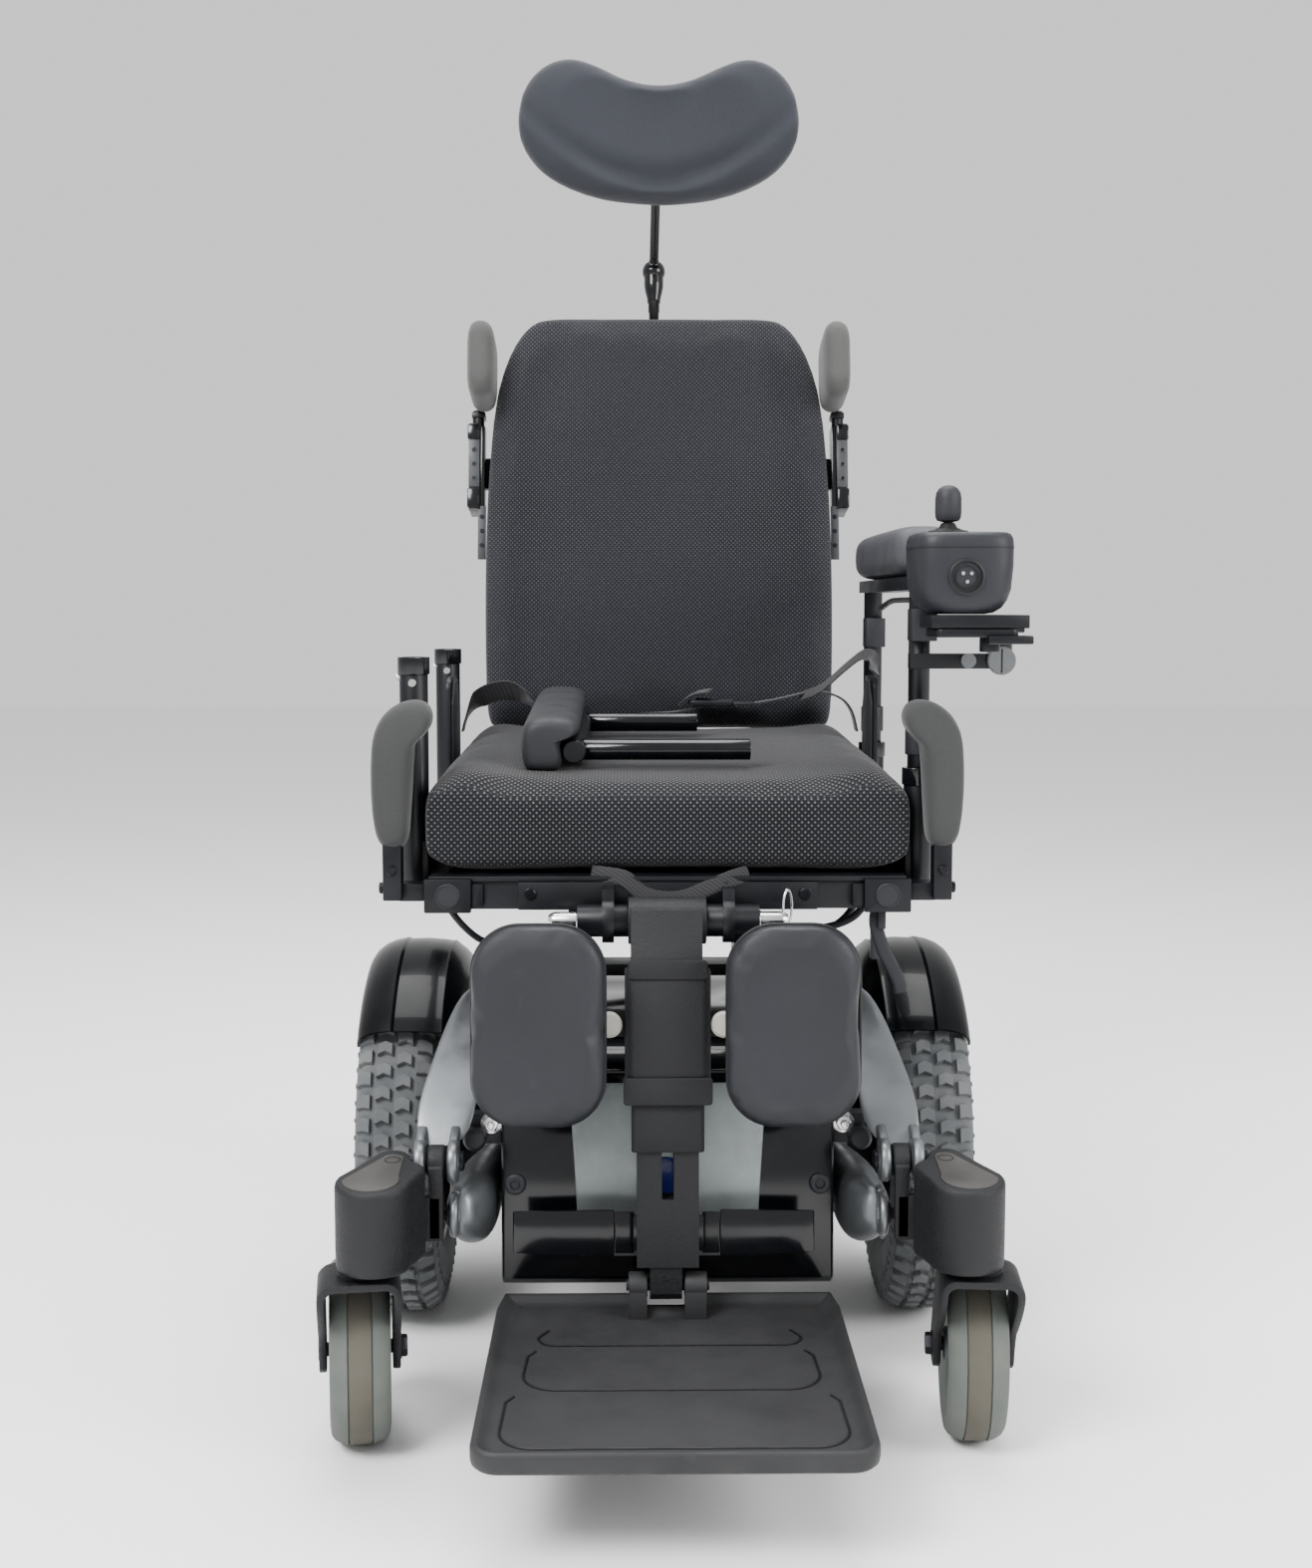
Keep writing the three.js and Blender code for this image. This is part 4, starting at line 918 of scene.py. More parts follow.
def arm_pads():
    """The left armrest's pad, and the right armrest that lies loose on the cushion."""
    bm = bmesh.new()
    bottom, top = 728.4, 775
    mid = (bottom + top) / 2
    half = (top - bottom) / 2
    tube_skin(bm, [(ARM_PAD_X, -195.6, mid - 2, 14, half * 0.42), (ARM_PAD_X, -192, mid - 1, 23,
        half * 0.72), (ARM_PAD_X, -184, mid, 27, half * 0.92), (ARM_PAD_X, -170, mid, 28.2, half * 0.99),
        (ARM_PAD_X, -60, mid, 28.4, half), (ARM_PAD_X, 60, mid, 28.4, half),
        (ARM_PAD_X, 112, mid, 28.2, half * 0.98), (ARM_PAD_X, 127, mid, 26.5, half * 0.88),
        (ARM_PAD_X, 134.5, mid - 1, 21, half * 0.66), (ARM_PAD_X, 136.8, mid - 2, 12, half * 0.35)])
    piece("armrest_cushion", bm, "armrest", "arm_plastic", ("arm_pad",), subdivide=2)
    bm = bmesh.new()
    section = [(-127, -14), (-123.5, -18), (-112, -18.5), (-98, -18.5), (-93, -15), (-92, -6), (-94.5, 3),
        (-94.5, 10), (-88, 14), (-80, 14.5), (-76.5, 19), (-78, 26), (-86, 31), (-100, 32.5), (-114, 32),
        (-124, 28.5), (-129, 20), (-130, 8), (-129, -5)]
    rings = []
    for y, k in ((-214, 0.5), (-213.5, 0.7), (-211, 0.86), (-206, 0.95), (-198, 1), (-100, 1), (0, 1),
            (98, 1), (106, 0.95), (112, 0.86), (115, 0.7), (116, 0.5)):
        rings.append([at(-108 + (x + 108) * k, y, 7 + (z - 7) * k) for x, z in section])
    loft(bm, rings)
    piece("loose_armrest_cushion", bm, "loose_armrest", "soft_plastic", ("loose_arm_pad",), subdivide=2,
        turn=LOOSE_ARM)
    bm = bmesh.new()
    lathe(bm, [(0, -204), (9.4, -204), (10.6, -202.8), (10.6, 108), (9.4, 109.2), (0, 109.2)],
        at(-82, 0, 0), (0, 1, 0), 40)
    piece("loose_armrest_rail", bm, "loose_armrest", "rail_black", turn=LOOSE_ARM)
    bm = bmesh.new()
    for y, end in ((-185, 76), (45, 36)):
        lathe(bm, [(7.6, 0), (9.2, 0), (9.5, 0.6), (9.5, end + 75.4), (9.2, end + 76), (7.6, end + 76)],
            at(-76, y, 0), (1, 0, 0), 36)
        lathe(bm, [(0, end + 70), (7.8, end + 70), (7.8, end + 72), (0, end + 72)], at(-76, y, 0),
            (1, 0, 0), 36)
    piece("loose_armrest_posts", bm, "loose_armrest", "gloss_black", ("loose_arm_tubes",), turn=LOOSE_ARM)


seat_cushion()
pull_loop()
back_cushion()
headrest_pad()
lateral_supports()
thigh_supports()
calf_pads()
arm_pads()

# ---------------------------------------------------------------- drive wheels and fenders

TREAD_PITCHES = 50


def wheel_point(s, radius, turn, x):
    return at(s * DRIVE_X + x, radius * math.cos(turn), DRIVE_R + radius * math.sin(turn))


def spoke(bm, centre, turn, stations):
    """A spoke from (radius, section) stations; a section's points are (width, x) in millimetres."""
    along = Vector((0, math.cos(turn), math.sin(turn)))
    wide = Vector((0, -math.sin(turn), math.cos(turn)))
    loft(bm, [[centre + along * r * MM + wide * (w * MM) + Vector((x * MM, 0, 0)) for w, x in section]
        for r, section in stations])


def tread_block(bm, s, outline, turn, top, floor):
    """One rubber block from (x, arc) points; the radius at each x comes from a function."""
    inner = [wheel_point(s, floor, turn + v / 175, u) for u, v in outline]
    outer = [wheel_point(s, top(u), turn + v / 175, u) for u, v in outline]
    cu, cv = centroid(outline)
    crown = [wheel_point(s, top(u), turn + (cv + (v - cv) * 0.88) / 175, cu + (u - cu) * 0.88)
        for u, v in outline]
    shoulder = [a.lerp(b, 0.82) for a, b in zip(inner, outer)]
    loft(bm, [inner, shoulder, crown])


def drive_tyre(s, side):
    """A turned carcass with staggered centre and shoulder blocks and small side lugs."""
    bm = bmesh.new()
    profile = [(112.4, -30), (118, -35), (128, -37.4), (140, -38), (152, -37.2), (160, -34.5), (166, -30),
        (170, -22), (171, -10), (171, 10), (170, 22), (166, 30), (160, 34.5), (152, 37.2), (140, 38),
        (128, 37.4), (118, 35), (112.4, 30)]
    origin = at(s * DRIVE_X, 0, DRIVE_R)
    lathe(bm, profile, origin, (1, 0, 0), 96)
    pitch = 2 * math.pi / TREAD_PITCHES

    def crown(u):
        return DRIVE_R - max(0.0, abs(u) - 12) ** 2 * 0.017

    middle_block = [(2.2, -6), (9.5, -9.5), (16.5, -6), (16.5, 5), (9.5, 1.8), (2.2, 5)]
    edge_block = [(20.5, -7), (28, -8.5), (34.5, -5.5), (35, 6), (28, 5), (20.5, 6.5)]
    for k in range(TREAD_PITCHES):
        for flip, shift in ((1, 0.0), (-1, 0.5)):
            turn = (k + shift) * pitch
            tread_block(bm, s, [(u * flip, v) for u, v in middle_block], turn, crown, 169)
            tread_block(bm, s, [(u * flip, v) for u, v in edge_block], turn + 0.3 * pitch, crown, 160)
    for k in range(60):
        turn = 2 * math.pi * k / 60
        for x in (-37.4, 37.4):
            out = math.copysign(0.5, x)
            quad = [(147, -0.012), (155, -0.012), (155, 0.012), (147, 0.012)]
            rings = [[wheel_point(s, r - abs(w) * 1.2, turn + a, x + w) for r, a in quad]
                for w in (-2 * out, out)]
            loft(bm, rings)
    piece(f"tyre_{side}", bm, f"drive_wheel_{side}", "tyre", (f"drive_tyre_{side}",), angle=30)


def drive_rim(s, side):
    """The rim with five spokes, a hub cap and the nuts between the spokes."""
    body = f"drive_wheel_{side}"
    origin = at(s * DRIVE_X, 0, DRIVE_R)
    bm = bmesh.new()
    profile = [(12.5, -24), (36, -24), (38.5, -22), (39.5, -8), (60, -7), (96, -6), (103, -20),
        (105.5, -31), (108, -32), (111, -32), (112, -30.5), (112, 30.5), (111, 32), (108, 32), (105.5, 31),
        (101, 20), (96, 7), (60, 5), (44, 7), (41, 16), (38, 18), (12.5, 18)]
    lathe(bm, profile, origin, (s, 0, 0), 72)
    piece(f"rim_{side}", bm, body, "rim", (f"drive_rim_{side}",))
    bm = bmesh.new()
    for k in range(5):
        spoke(bm, origin, 2 * math.pi * k / 5 + 0.3, [(r, [(-half, s * 4), (half, s * 4),
            (half, s * (rise - 1.5)), (half - 2.5, s * rise), (2.5 - half, s * rise),
            (-half, s * (rise - 1.5))]) for r, half, rise in ((39, 13, 15), (60, 10, 12.5), (84, 9, 12),
            (98.5, 13, 15))])
    lathe(bm, [(0, 18), (24, 18), (24, 22), (21, 25), (8, 27), (0, 27)], origin, (s, 0, 0), 40)
    piece(f"rim_spokes_{side}", bm, body, "rim", bevel=0.8)
    bm = bmesh.new()
    for k in range(5):
        turn = 2 * math.pi * k / 5 + 0.3 + math.pi / 5
        lathe(bm, [(0, 17.5), (5.2, 17.5), (5.2, 22), (4.4, 23), (0, 23)],
            origin + Vector((0, math.cos(turn), math.sin(turn))) * 31 * MM, (s, 0, 0), 6)
    piece(f"rim_nuts_{side}", bm, body, "zinc", bevel=0.3)


FENDER_SECTION = [(290, 163), (289.7, 169), (288, 175.5), (283.5, 182), (276, 187.5), (267, 191),
    (258.5, 192.6), (256, 193), (253, 191.7), (236, 192.3), (218, 190.8), (211, 189.6), (208.6, 190),
    (205, 187), (198, 181.5), (191.5, 174), (187.5, 166), (186.2, 161)]


def fender(s, side):
    """The glossy guard over a drive wheel: one thin section swept about the axle, on a strut."""
    bm = bmesh.new()
    outer = FENDER_SECTION
    inner = []
    for i, (u, v) in enumerate(outer):
        (u0, v0), (u1, v1) = outer[max(i - 1, 0)], outer[min(i + 1, len(outer) - 1)]
        du, dv = u1 - u0, v1 - v0
        length = math.hypot(du, dv)
        inner.append((u - dv / length * 2.4, v + du / length * 2.4))
    section = outer + inner[::-1]
    rings = []
    steps = 56
    for k in range(steps + 1):
        t = k / steps
        turn = math.radians(90 + 47 - (47 + 70) * t)
        ease = min(1.0, min(t, 1 - t) * steps / 2.0)
        rings.append([at(s * u, (v - (1 - ease) * 0.8) * -math.sin(turn - math.pi / 2),
            DRIVE_R + (v - (1 - ease) * 0.8) * math.cos(turn - math.pi / 2)) for u, v in section])
    loft(bm, rings)
    # The shell takes fender_black, a darker copy of gloss_black, as painted shade.
    piece(f"fender_shell_{side}", bm, "base", "fender_black", (f"fender_{side}",), angle=24)
    bm = bmesh.new()
    block(bm, (s * 172, -16, 227.4), (s * 186, 16, 340))
    block(bm, (s * 172, -16, 336), (s * 196, 16, 343))
    piece(f"fender_strut_{side}", bm, "base", "rail_black", bevel=1.5)


# ---------------------------------------------------------------- casters and forks

FRONT_TOE = {"right": 8, "left": -5}


def caster(prefix, s, side, swivel, trail, toe):
    """A wheel and its fork, built about the swivel's line and then turned by the toe angle."""
    turned = Matrix.Rotation(math.radians(toe), 4, "Z")
    place = Matrix.Translation(at(s * swivel[0], swivel[1], 0)) @ turned @ Matrix.Translation(-at(0, 0, 0))
    axle = at(0, trail, CASTER_R)
    caster_wheel(f"{prefix}_caster_{side}", axle, place)
    caster_fork(f"{prefix}_fork_{side}", s, axle, place, prefix == "rear")


def caster_wheel(wheel, axle, place):
    bm = bmesh.new()
    flank = [(47.5, 17.5), (52, 20), (58, 24), (64, 25), (69, 24.2), (73, 21.5), (76, 16.5), (77.6, 12.2),
        (78, 10.6), (76.2, 9.9)]
    lathe(bm, [(r, -x) for r, x in flank] + flank[::-1], axle, (1, 0, 0), 80)
    piece(f"{wheel}_tyre", bm, wheel, "caster_rubber", (wheel,), turn=place)
    bm = bmesh.new()
    lathe(bm, [(75, -9.2), (77.5, -9.2), (78, -8.4), (78, 8.4), (77.5, 9.2), (75, 9.2)], axle, (1, 0, 0),
        80)
    piece(f"{wheel}_band", bm, wheel, "caster_band", turn=place)
    bm = bmesh.new()
    hub = [(6.6, 24.4), (12, 24.6), (14.5, 23), (15.5, 9), (20, 5), (38, 4), (43, 8), (46, 14.5),
        (48.5, 17.2)]
    lathe(bm, [(r, -x) for r, x in hub] + hub[::-1], axle, (1, 0, 0), 48)
    for k in range(6):
        spoke(bm, axle, math.pi * k / 3, [(r, [(-half, -rise), (half, -rise), (half, rise), (-half, rise)])
            for r, half, rise in ((13, 4.5, 20), (28, 3.4, 12), (45.5, 4.6, 15))])
    piece(f"{wheel}_hub", bm, wheel, "hub", bevel=0.7, turn=place)


def caster_fork(body, s, axle, place, short):
    """A bent strap over the wheel, its stem and the axle bolt; a short one reaches less far back."""
    bm = bmesh.new()
    wall, half_width = 6.5, 34.0
    path = [(-half_width, z) for z in (60, 66, 78, 88, 98, 110, 122, 134, 144)]
    path += [(-half_width + 14 - 14 * math.cos(a), 151 + 14 * math.sin(a))
        for a in (0.0, 0.35, 0.7, 1.05, 1.4)]
    path += [(x, 165) for x in (-18, -9)]
    path += [(-x, z) for x, z in path[::-1]]

    def reach(z):
        rows = [(60, 60, 72), (66, 51.5, 80.5), (78, 47.5, 84), (88, 42, 82.5), (98, 35, 75), (110, 18, 68),
            (122, 2, 60), (134, -12, 50), (144, -22, 43), (152, -26, 37), (160, -28, 32), (165, -29, 31)]
        for (za, a0, a1), (zb, b0, b1) in zip(rows, rows[1:]):
            if z <= zb:
                t = max(0.0, (z - za) / (zb - za))
                return a0 + (b0 - a0) * t, a1 + (b1 - a1) * t
        return rows[-1][1:]

    rings = []
    for i, (x, z) in enumerate(path):
        (x0, z0), (x1, z1) = path[max(i - 1, 0)], path[min(i + 1, len(path) - 1)]
        length = math.hypot(x1 - x0, z1 - z0)
        nx, nz = (z1 - z0) / length, -(x1 - x0) / length
        y0, y1 = reach(z)
        if short:
            y0, y1 = (y if y < 0 else y * (1 - 16 / 66 * min(1.0, max(0.0, (150 - z) / 60)))
                for y in (y0, y1))
        rings.append([at(x, y0, z), at(x, y1, z), at(x + nx * wall, y1, z + nz * wall),
            at(x + nx * wall, y0, z + nz * wall)])
    loft(bm, rings)
    piece(f"{body}_yoke", bm, body, "wrinkle_black", (body,), bevel=1.6, angle=30, turn=place)
    bm = bmesh.new()
    lathe(bm, [(0, 160), (18, 160), (18, 168.2), (16.5, 169), (12, 169.4), (12, 204.4), (11, 205),
        (0, 205)], at(0, 0, 0), (0, 0, 1), 40)
    piece(f"{body}_stem", bm, body, "wrinkle_black", turn=place)
    bm = bmesh.new()
    lathe(bm, [(0, 34.2), (9.5, 34.2), (9.5, 38.5), (8.6, 40), (0, 40)], axle, (-s, 0, 0), 6)
    lathe(bm, [(0, 34), (11, 34), (11, 35), (0, 35)], axle, (-s, 0, 0), 28)
    lathe(bm, [(0, -34.6), (9, -34.6), (8.6, -34), (8.6, -33.6), (0, -33.6)], axle, (-s, 0, 0), 28)
    lathe(bm, [(0, -33.8), (6, -33.8), (6, 34.2), (0, 34.2)], axle, (-s, 0, 0), 28)
    piece(f"{body}_axle", bm, body, "bolt_black", turn=place)


# ---------------------------------------------------------------- suspension


def oval_loft(bm, stations, count=20, squareness=2.6):
    """A skin over ovals: each row is the centre, the half width in x and the half height's (y, z)."""
    loft(bm, [ellipse(at(x, y, z), Vector((wide, 0, 0)) * MM, Vector((0, dy, dz)) * MM, count, squareness)
        for x, y, z, wide, dy, dz in stations])


def eye(bm, radius, bore, x0, x1, y, z, count=40):
    """A turned eye with a chamfered rim and a bore, along X."""
    low, high = sorted((x0, x1))
    lathe(bm, [(bore, low), (radius - 1.6, low), (radius, low + 1.6), (radius, high - 1.6),
        (radius - 1.6, high), (bore, high)], at(0, y, z), (1, 0, 0), count)


def upper_arm(s, side):
    """The curved casting from the base to the caster housing, with two ears around its lug."""
    bm = bmesh.new()
    oval_loft(bm, [(s * 157, -139, 334, 7, -6, 8), (s * 157, -150, 335, 10, -5, 14),
        (s * 162, -172, 341, 11, 2, 16), (s * 170, -200, 345, 13, 8, 17), (s * 175, -226, 337, 15, 10, 18),
        (s * 180, -248, 323, 17, 12, 18), (s * 183, -268, 307, 20, 13, 18),
        (s * 186, -286, 291, 23, 13, 17), (s * 188.5, -300, 277, 24.5, 12, 16),
        (s * 191, -311, 266, 23, 10, 14), (s * 193.5, -318, 258, 18, 7, 10),
        (s * 194, -321, 254, 12, 4, 6)], 24, 2.7)
    piece(f"upper_arm_beam_{side}", bm, f"upper_arm_{side}", "cast", (f"upper_arm_{side}",), subdivide=1)
    bm = bmesh.new()
    eye(bm, 17, 8.6, s * 146, s * 168, *UPPER_REAR)
    for a, b in ((176, 184.6), (203.4, 212.4)):
        x, half = s * (a + b) / 2, s * (b - a) / 2
        oval_loft(bm, [(x, -310, 262, half * 0.6, 3, 3), (x, -318, 256, half, 5, 8),
            (x, -329, 249, half, 6, 13), (x, -337, 241, half, 2, 17)], 20, 5)
        eye(bm, 18, 6, x - half, x + half, *UPPER_FRONT)
        eye(bm, 10.5, 6, x - half * 1.25, x + half * 1.25, *UPPER_FRONT, 32)
    piece(f"upper_arm_ears_{side}", bm, f"upper_arm_{side}", "cast", bevel=0.8, angle=50)


def lower_arm(s, side):
    """The stout casting below, with its front eyes and their bolt."""
    bm = bmesh.new()
    oval_loft(bm, [(s * 157, -148, 190, 7, 0, 9), (s * 157, -160, 190, 9, 0, 18),
        (s * 158, -184, 188, 12, 1, 26), (s * 161, -208, 185, 15.5, 2, 30),
        (s * 164.5, -232, 183.5, 18.5, 3, 33), (s * 167, -256, 183, 20.5, 4, 34),
        (s * 168.5, -278, 184, 21, 5, 32.5), (s * 170, -294, 186, 19.5, 6, 29),
        (s * 173, -306, 189, 16, 7, 24), (s * 177, -316, 192, 12, 6, 18), (s * 178, -322, 193, 8, 3, 12)],
        28, 2.3)
    piece(f"lower_arm_beam_{side}", bm, f"lower_arm_{side}", "cast", (f"lower_arm_{side}",), subdivide=1)
    bm = bmesh.new()
    eye(bm, 20, 8.6, s * 146, s * 168, *LOWER_REAR)
    for a, b in ((176, 183), (204, 211)):
        x, half = s * (a + b) / 2, s * (b - a) / 2
        oval_loft(bm, [(s * (a + b * 2 + 180) / 4, -304, 193, half, 8, 14), (x, -318, 194, half, 6, 17),
            (x, -331, 194, half, 3, 18)], 20, 5)
        eye(bm, 18.5, 6, x - half, x + half, *LOWER_FRONT)
    piece(f"lower_arm_eyes_{side}", bm, f"lower_arm_{side}", "cast", bevel=0.8, angle=50)
    bm = bmesh.new()
    pin(bm, at(s * 177.5, *LOWER_FRONT), at(s * 209.5, *LOWER_FRONT), 5.6, 24, 0.6)
    for x in (183.2, 200.8):
        lathe(bm, [(0, x), (9.5, x), (10.5, x + 1), (10.5, x + 2), (9.5, x + 3), (0, x + 3)],
            at(0, *LOWER_FRONT), (s, 0, 0), 32)
    piece(f"lower_arm_bolt_{side}", bm, f"lower_arm_{side}", "bolt_black")


def rear_arm(s, side):
    """The straight rear casting that carries the rear caster's swivel head."""
    bm = bmesh.new()
    oval_loft(bm, [(s * 145, 108, 185, 7, 0, 9), (s * 145, 120, 185, 11, 0, 17),
        (s * 148, 160, 188, 13, 0, 20), (s * 152, 210, 191, 15, 0, 20.5), (s * 158, 262, 196, 16, 0, 20),
        (s * 163, 305, 196, 17, 0, 20), (s * 165, 326, 196, 16, 0, 18)], 24, 3)
    piece(f"rear_arm_beam_{side}", bm, f"rear_arm_{side}", "cast", (f"rear_arm_{side}",), subdivide=1)
    bm = bmesh.new()
    eye(bm, 20, 8.6, s * 134, s * 156, *REAR_ARM_PIVOT)
    lathe(bm, [(12.6, 172), (24, 172), (27, 175), (27, 218), (24, 221), (20, 222), (12.6, 222)],
        at(s * REAR_SWIVEL[0], REAR_SWIVEL[1], 0), (0, 0, 1), 48)
    piece(f"rear_arm_head_{side}", bm, f"rear_arm_{side}", "cast")
    bm = bmesh.new()
    lathe(bm, [(0, 206.5), (12.3, 206.5), (12.3, 214), (0, 217)], at(s * REAR_SWIVEL[0], REAR_SWIVEL[1], 0),
        (0, 0, 1), 32)
    piece(f"rear_arm_cap_{side}", bm, f"rear_arm_{side}", "plastic")


def suspension_pins(s, side):
    """The pins that the arms turn on, and the knob and bolt beside the cover."""
    bm = bmesh.new()
    for line in (UPPER_REAR, LOWER_REAR):
        pin(bm, at(s * 140, *line), at(s * 171.5, *line), 7.8)
    for line, x in ((UPPER_REAR, 169), (LOWER_REAR, 169), (REAR_ARM_PIVOT, 157)):
        lathe(bm, [(0, x), (11, x), (11, x + 5), (9.5, x + 6.5), (0, x + 6.5)], at(0, *line), (s, 0, 0), 6)
    piece(f"suspension_pins_{side}", bm, "base", "bolt_black", bevel=0.4)
    bm = bmesh.new()
    pin(bm, at(s * 167, -266, 243), at(s * 167, -286, 243), 10, 28, 2.5)
    block(bm, (s * 144.4, -270, 236), (s * 172, -252, 262))
    piece(f"lock_knob_{side}", bm, "base", "plastic", bevel=1.0)
    bm = bmesh.new()
    lathe(bm, [(0, 0), (7, 0), (7, 4.5), (6, 5.5), (3.4, 5.5), (3.4, 10), (2.8, 10.8), (0, 10.8)],
        at(s * 153, -272, 255), (0, -1, 0), 6)
    lathe(bm, [(0, -1), (9.5, -1), (9.5, 0.6), (0, 0.6)], at(s * 153, -271.8, 255), (0, -1, 0), 32)
    piece(f"cover_bolt_{side}", bm, "base", "zinc", bevel=0.3)


HOUSING = arc(239, -402, 31, -175, 15, 18) + arc(230, -349, 14, 30, 160, 12) + [(213, -357)] + arc(217,
    -377, 17, 150, 185, 5)
LID = arc(241, -404, 24, -200, 0, 18) + arc(228, -356, 9, 10, 170, 12)


def caster_housing(s, side):
    """A drum with a sloping top, its inset lid, and the lug and pin that join it to the arm."""
    body = f"caster_housing_{side}"
    outline = resample([(s * x, y) for x, y in HOUSING], 5)
    cx, cy = centroid(outline)

    def top(y):
        return 239.4 + (y + 440) / 120 * 12

    bm = bmesh.new()
    rings = []
    for level, inset in ((0, 4), (0.03, 1.2), (0.08, 0.2), (0.3, 0), (0.7, 0), (0.93, 0), (0.975, 0.5),
            (0.993, 1.8), (1.0, 3.6)):
        ring = []
        for x, y in outline:
            reach = math.hypot(x - cx, y - cy)
            k = 1 - inset / reach
            px, py = cx + (x - cx) * k, cy + (y - cy) * k
            ring.append(at(px, py, 170.3 + (top(py) - 170.3) * level))
        rings.append(ring)
    loft(bm, rings)
    piece(f"{body}_shell", bm, body, "wrinkle_black", (body,), angle=60)
    lid = resample(LID, 4)
    cx, cy = centroid(lid)
    for name, wide, rise, material in (("groove", 1.0, 0.25, "piping"), ("lid", 0.955, 1.1, "lid_grey")):
        bm = bmesh.new()
        rings = []
        for level, k in ((-2.0, wide), (rise - 0.5, wide), (rise, wide - 0.025)):
            spots = [(cx + (x - cx) * k, cy + (y - cy) * k) for x, y in lid]
            rings.append([at(s * x, y, top(y) + level) for x, y in spots])
        loft(bm, rings)
        piece(f"{body}_{name}", bm, body, material, angle=50)
    bm = bmesh.new()
    tilt = Vector((0, -0.1, 1)).normalized()
    centre = at(s * 228, -362, top(-362) + 1.0)
    lathe(bm, [(0, -3), (6.8, -3), (6.8, 0.25), (5.8, 0.35), (5.8, -1.5), (0, -1.5)], centre, tilt, 32)
    piece(f"{body}_screw", bm, body, "bolt_black")
    bm = bmesh.new()
    plate(bm, rounded(-354, -345, 176, 240, 3), "X", *sorted((s * 188, s * 200)))
    eye(bm, 14, 5, s * 186.6, s * 201.4, *UPPER_FRONT, 36)
    block(bm, (s * 190, -354, 176), (s * 220, -346, 214))
    piece(f"{body}_lug", bm, body, "wrinkle_black", bevel=1.2)
    bm = bmesh.new()
    pin(bm, at(s * 175.4, *UPPER_FRONT), at(s * 213, *UPPER_FRONT), 5, 24, 0.6)
    for x, way in ((213.4, s), (175, -s)):
        lathe(bm, [(0, 0), (8, 0), (8, 3), (6.8, 4), (0, 4)], at(s * x, *UPPER_FRONT), (way, 0, 0), 24)
    for x in (186, 198.6):
        lathe(bm, [(0, x), (10, x), (11.5, x + 0.8), (11.5, x + 2.6), (10, x + 3.4), (0, x + 3.4)],
            at(0, *UPPER_FRONT), (s, 0, 0), 32)
    piece(f"{body}_pin", bm, body, "bolt_black")


# ---------------------------------------------------------------- base, covers and footrest


def base():
    """The covers and frame, with the cover's screws, the badge and the rear vents."""
    carried("front_cover", "gloss_black", 3.0, 50)
    carried("front_panel", "panel", 1.0)
    carried("rear_cover", "gloss_black", 3.0, 50)
    carried("battery_pack", "plastic", 3.0)
    carried("base_frame", "rail_black", 1.0)
    for side in ("right", "left"):
        carried(f"motor_{side}", "rail_black", 1.5, 50)
    bm = bmesh.new()
    for x in (-132, 132):
        lathe(bm, [(0, 0), (9, 0), (9, 2.2), (7.6, 3.2), (4.4, 3.2), (3.6, 1.2), (0, 1.2)],
            at(x, -283.8, 204), (0, -1, 0), 40)
        lathe(bm, [(0, 0), (7, 0), (7, 2.2), (6, 3.0), (3.4, 3.0), (2.8, 1.2), (0, 1.2)],
            at(x, -279.6, 290), (0, -1, 0), 40)
    piece("cover_screws", bm, "base", "plastic")
    bm = bmesh.new()
    lathe(bm, [(0, 0), (24, 0), (24, 1.0), (22.6, 1.6), (20.5, 1.6), (20, 1.1), (0, 1.1)],
        at(-2, -3.2, -88), (0, -1, 0), 56)
    piece("panel_badge", bm, "base", "badge", turn=PANEL)
    bm = bmesh.new()
    for x in (-60, -20, 20, 60):
        for z in (150, 165, 180, 195, 210, 225, 240, 255, 270, 285):
            if abs(x) == 60 or z > 200:
                block(bm, (x - 14, 201.5, z - 2), (x + 14, 203.3, z + 2))
    piece("rear_cover_vents", bm, "base", "plastic", bevel=0.5)


def shrink(outline, inset):
    """The outline moved inward, each point square to the line between its neighbours."""
    moved = []
    for i, (u, v) in enumerate(outline):
        (u0, v0), (u1, v1) = outline[i - 1], outline[(i + 1) % len(outline)]
        length = math.hypot(u1 - u0, v1 - v0)
        moved.append((u + (v1 - v0) / length * inset, v - (u1 - u0) / length * inset))
    return moved


def tray_ring(outline, inset):
    """The tray outline moved inward, with the notch for the hinge kept square."""
    ring = []
    for x, y in shrink(outline, inset):
        y = min(y, 33 - inset)
        if y > 8 - inset and -20 - inset < x < 15 + inset:
            x = 15 + inset if x > 0 else -20 - inset
        ring.append((x, y))
    return ring


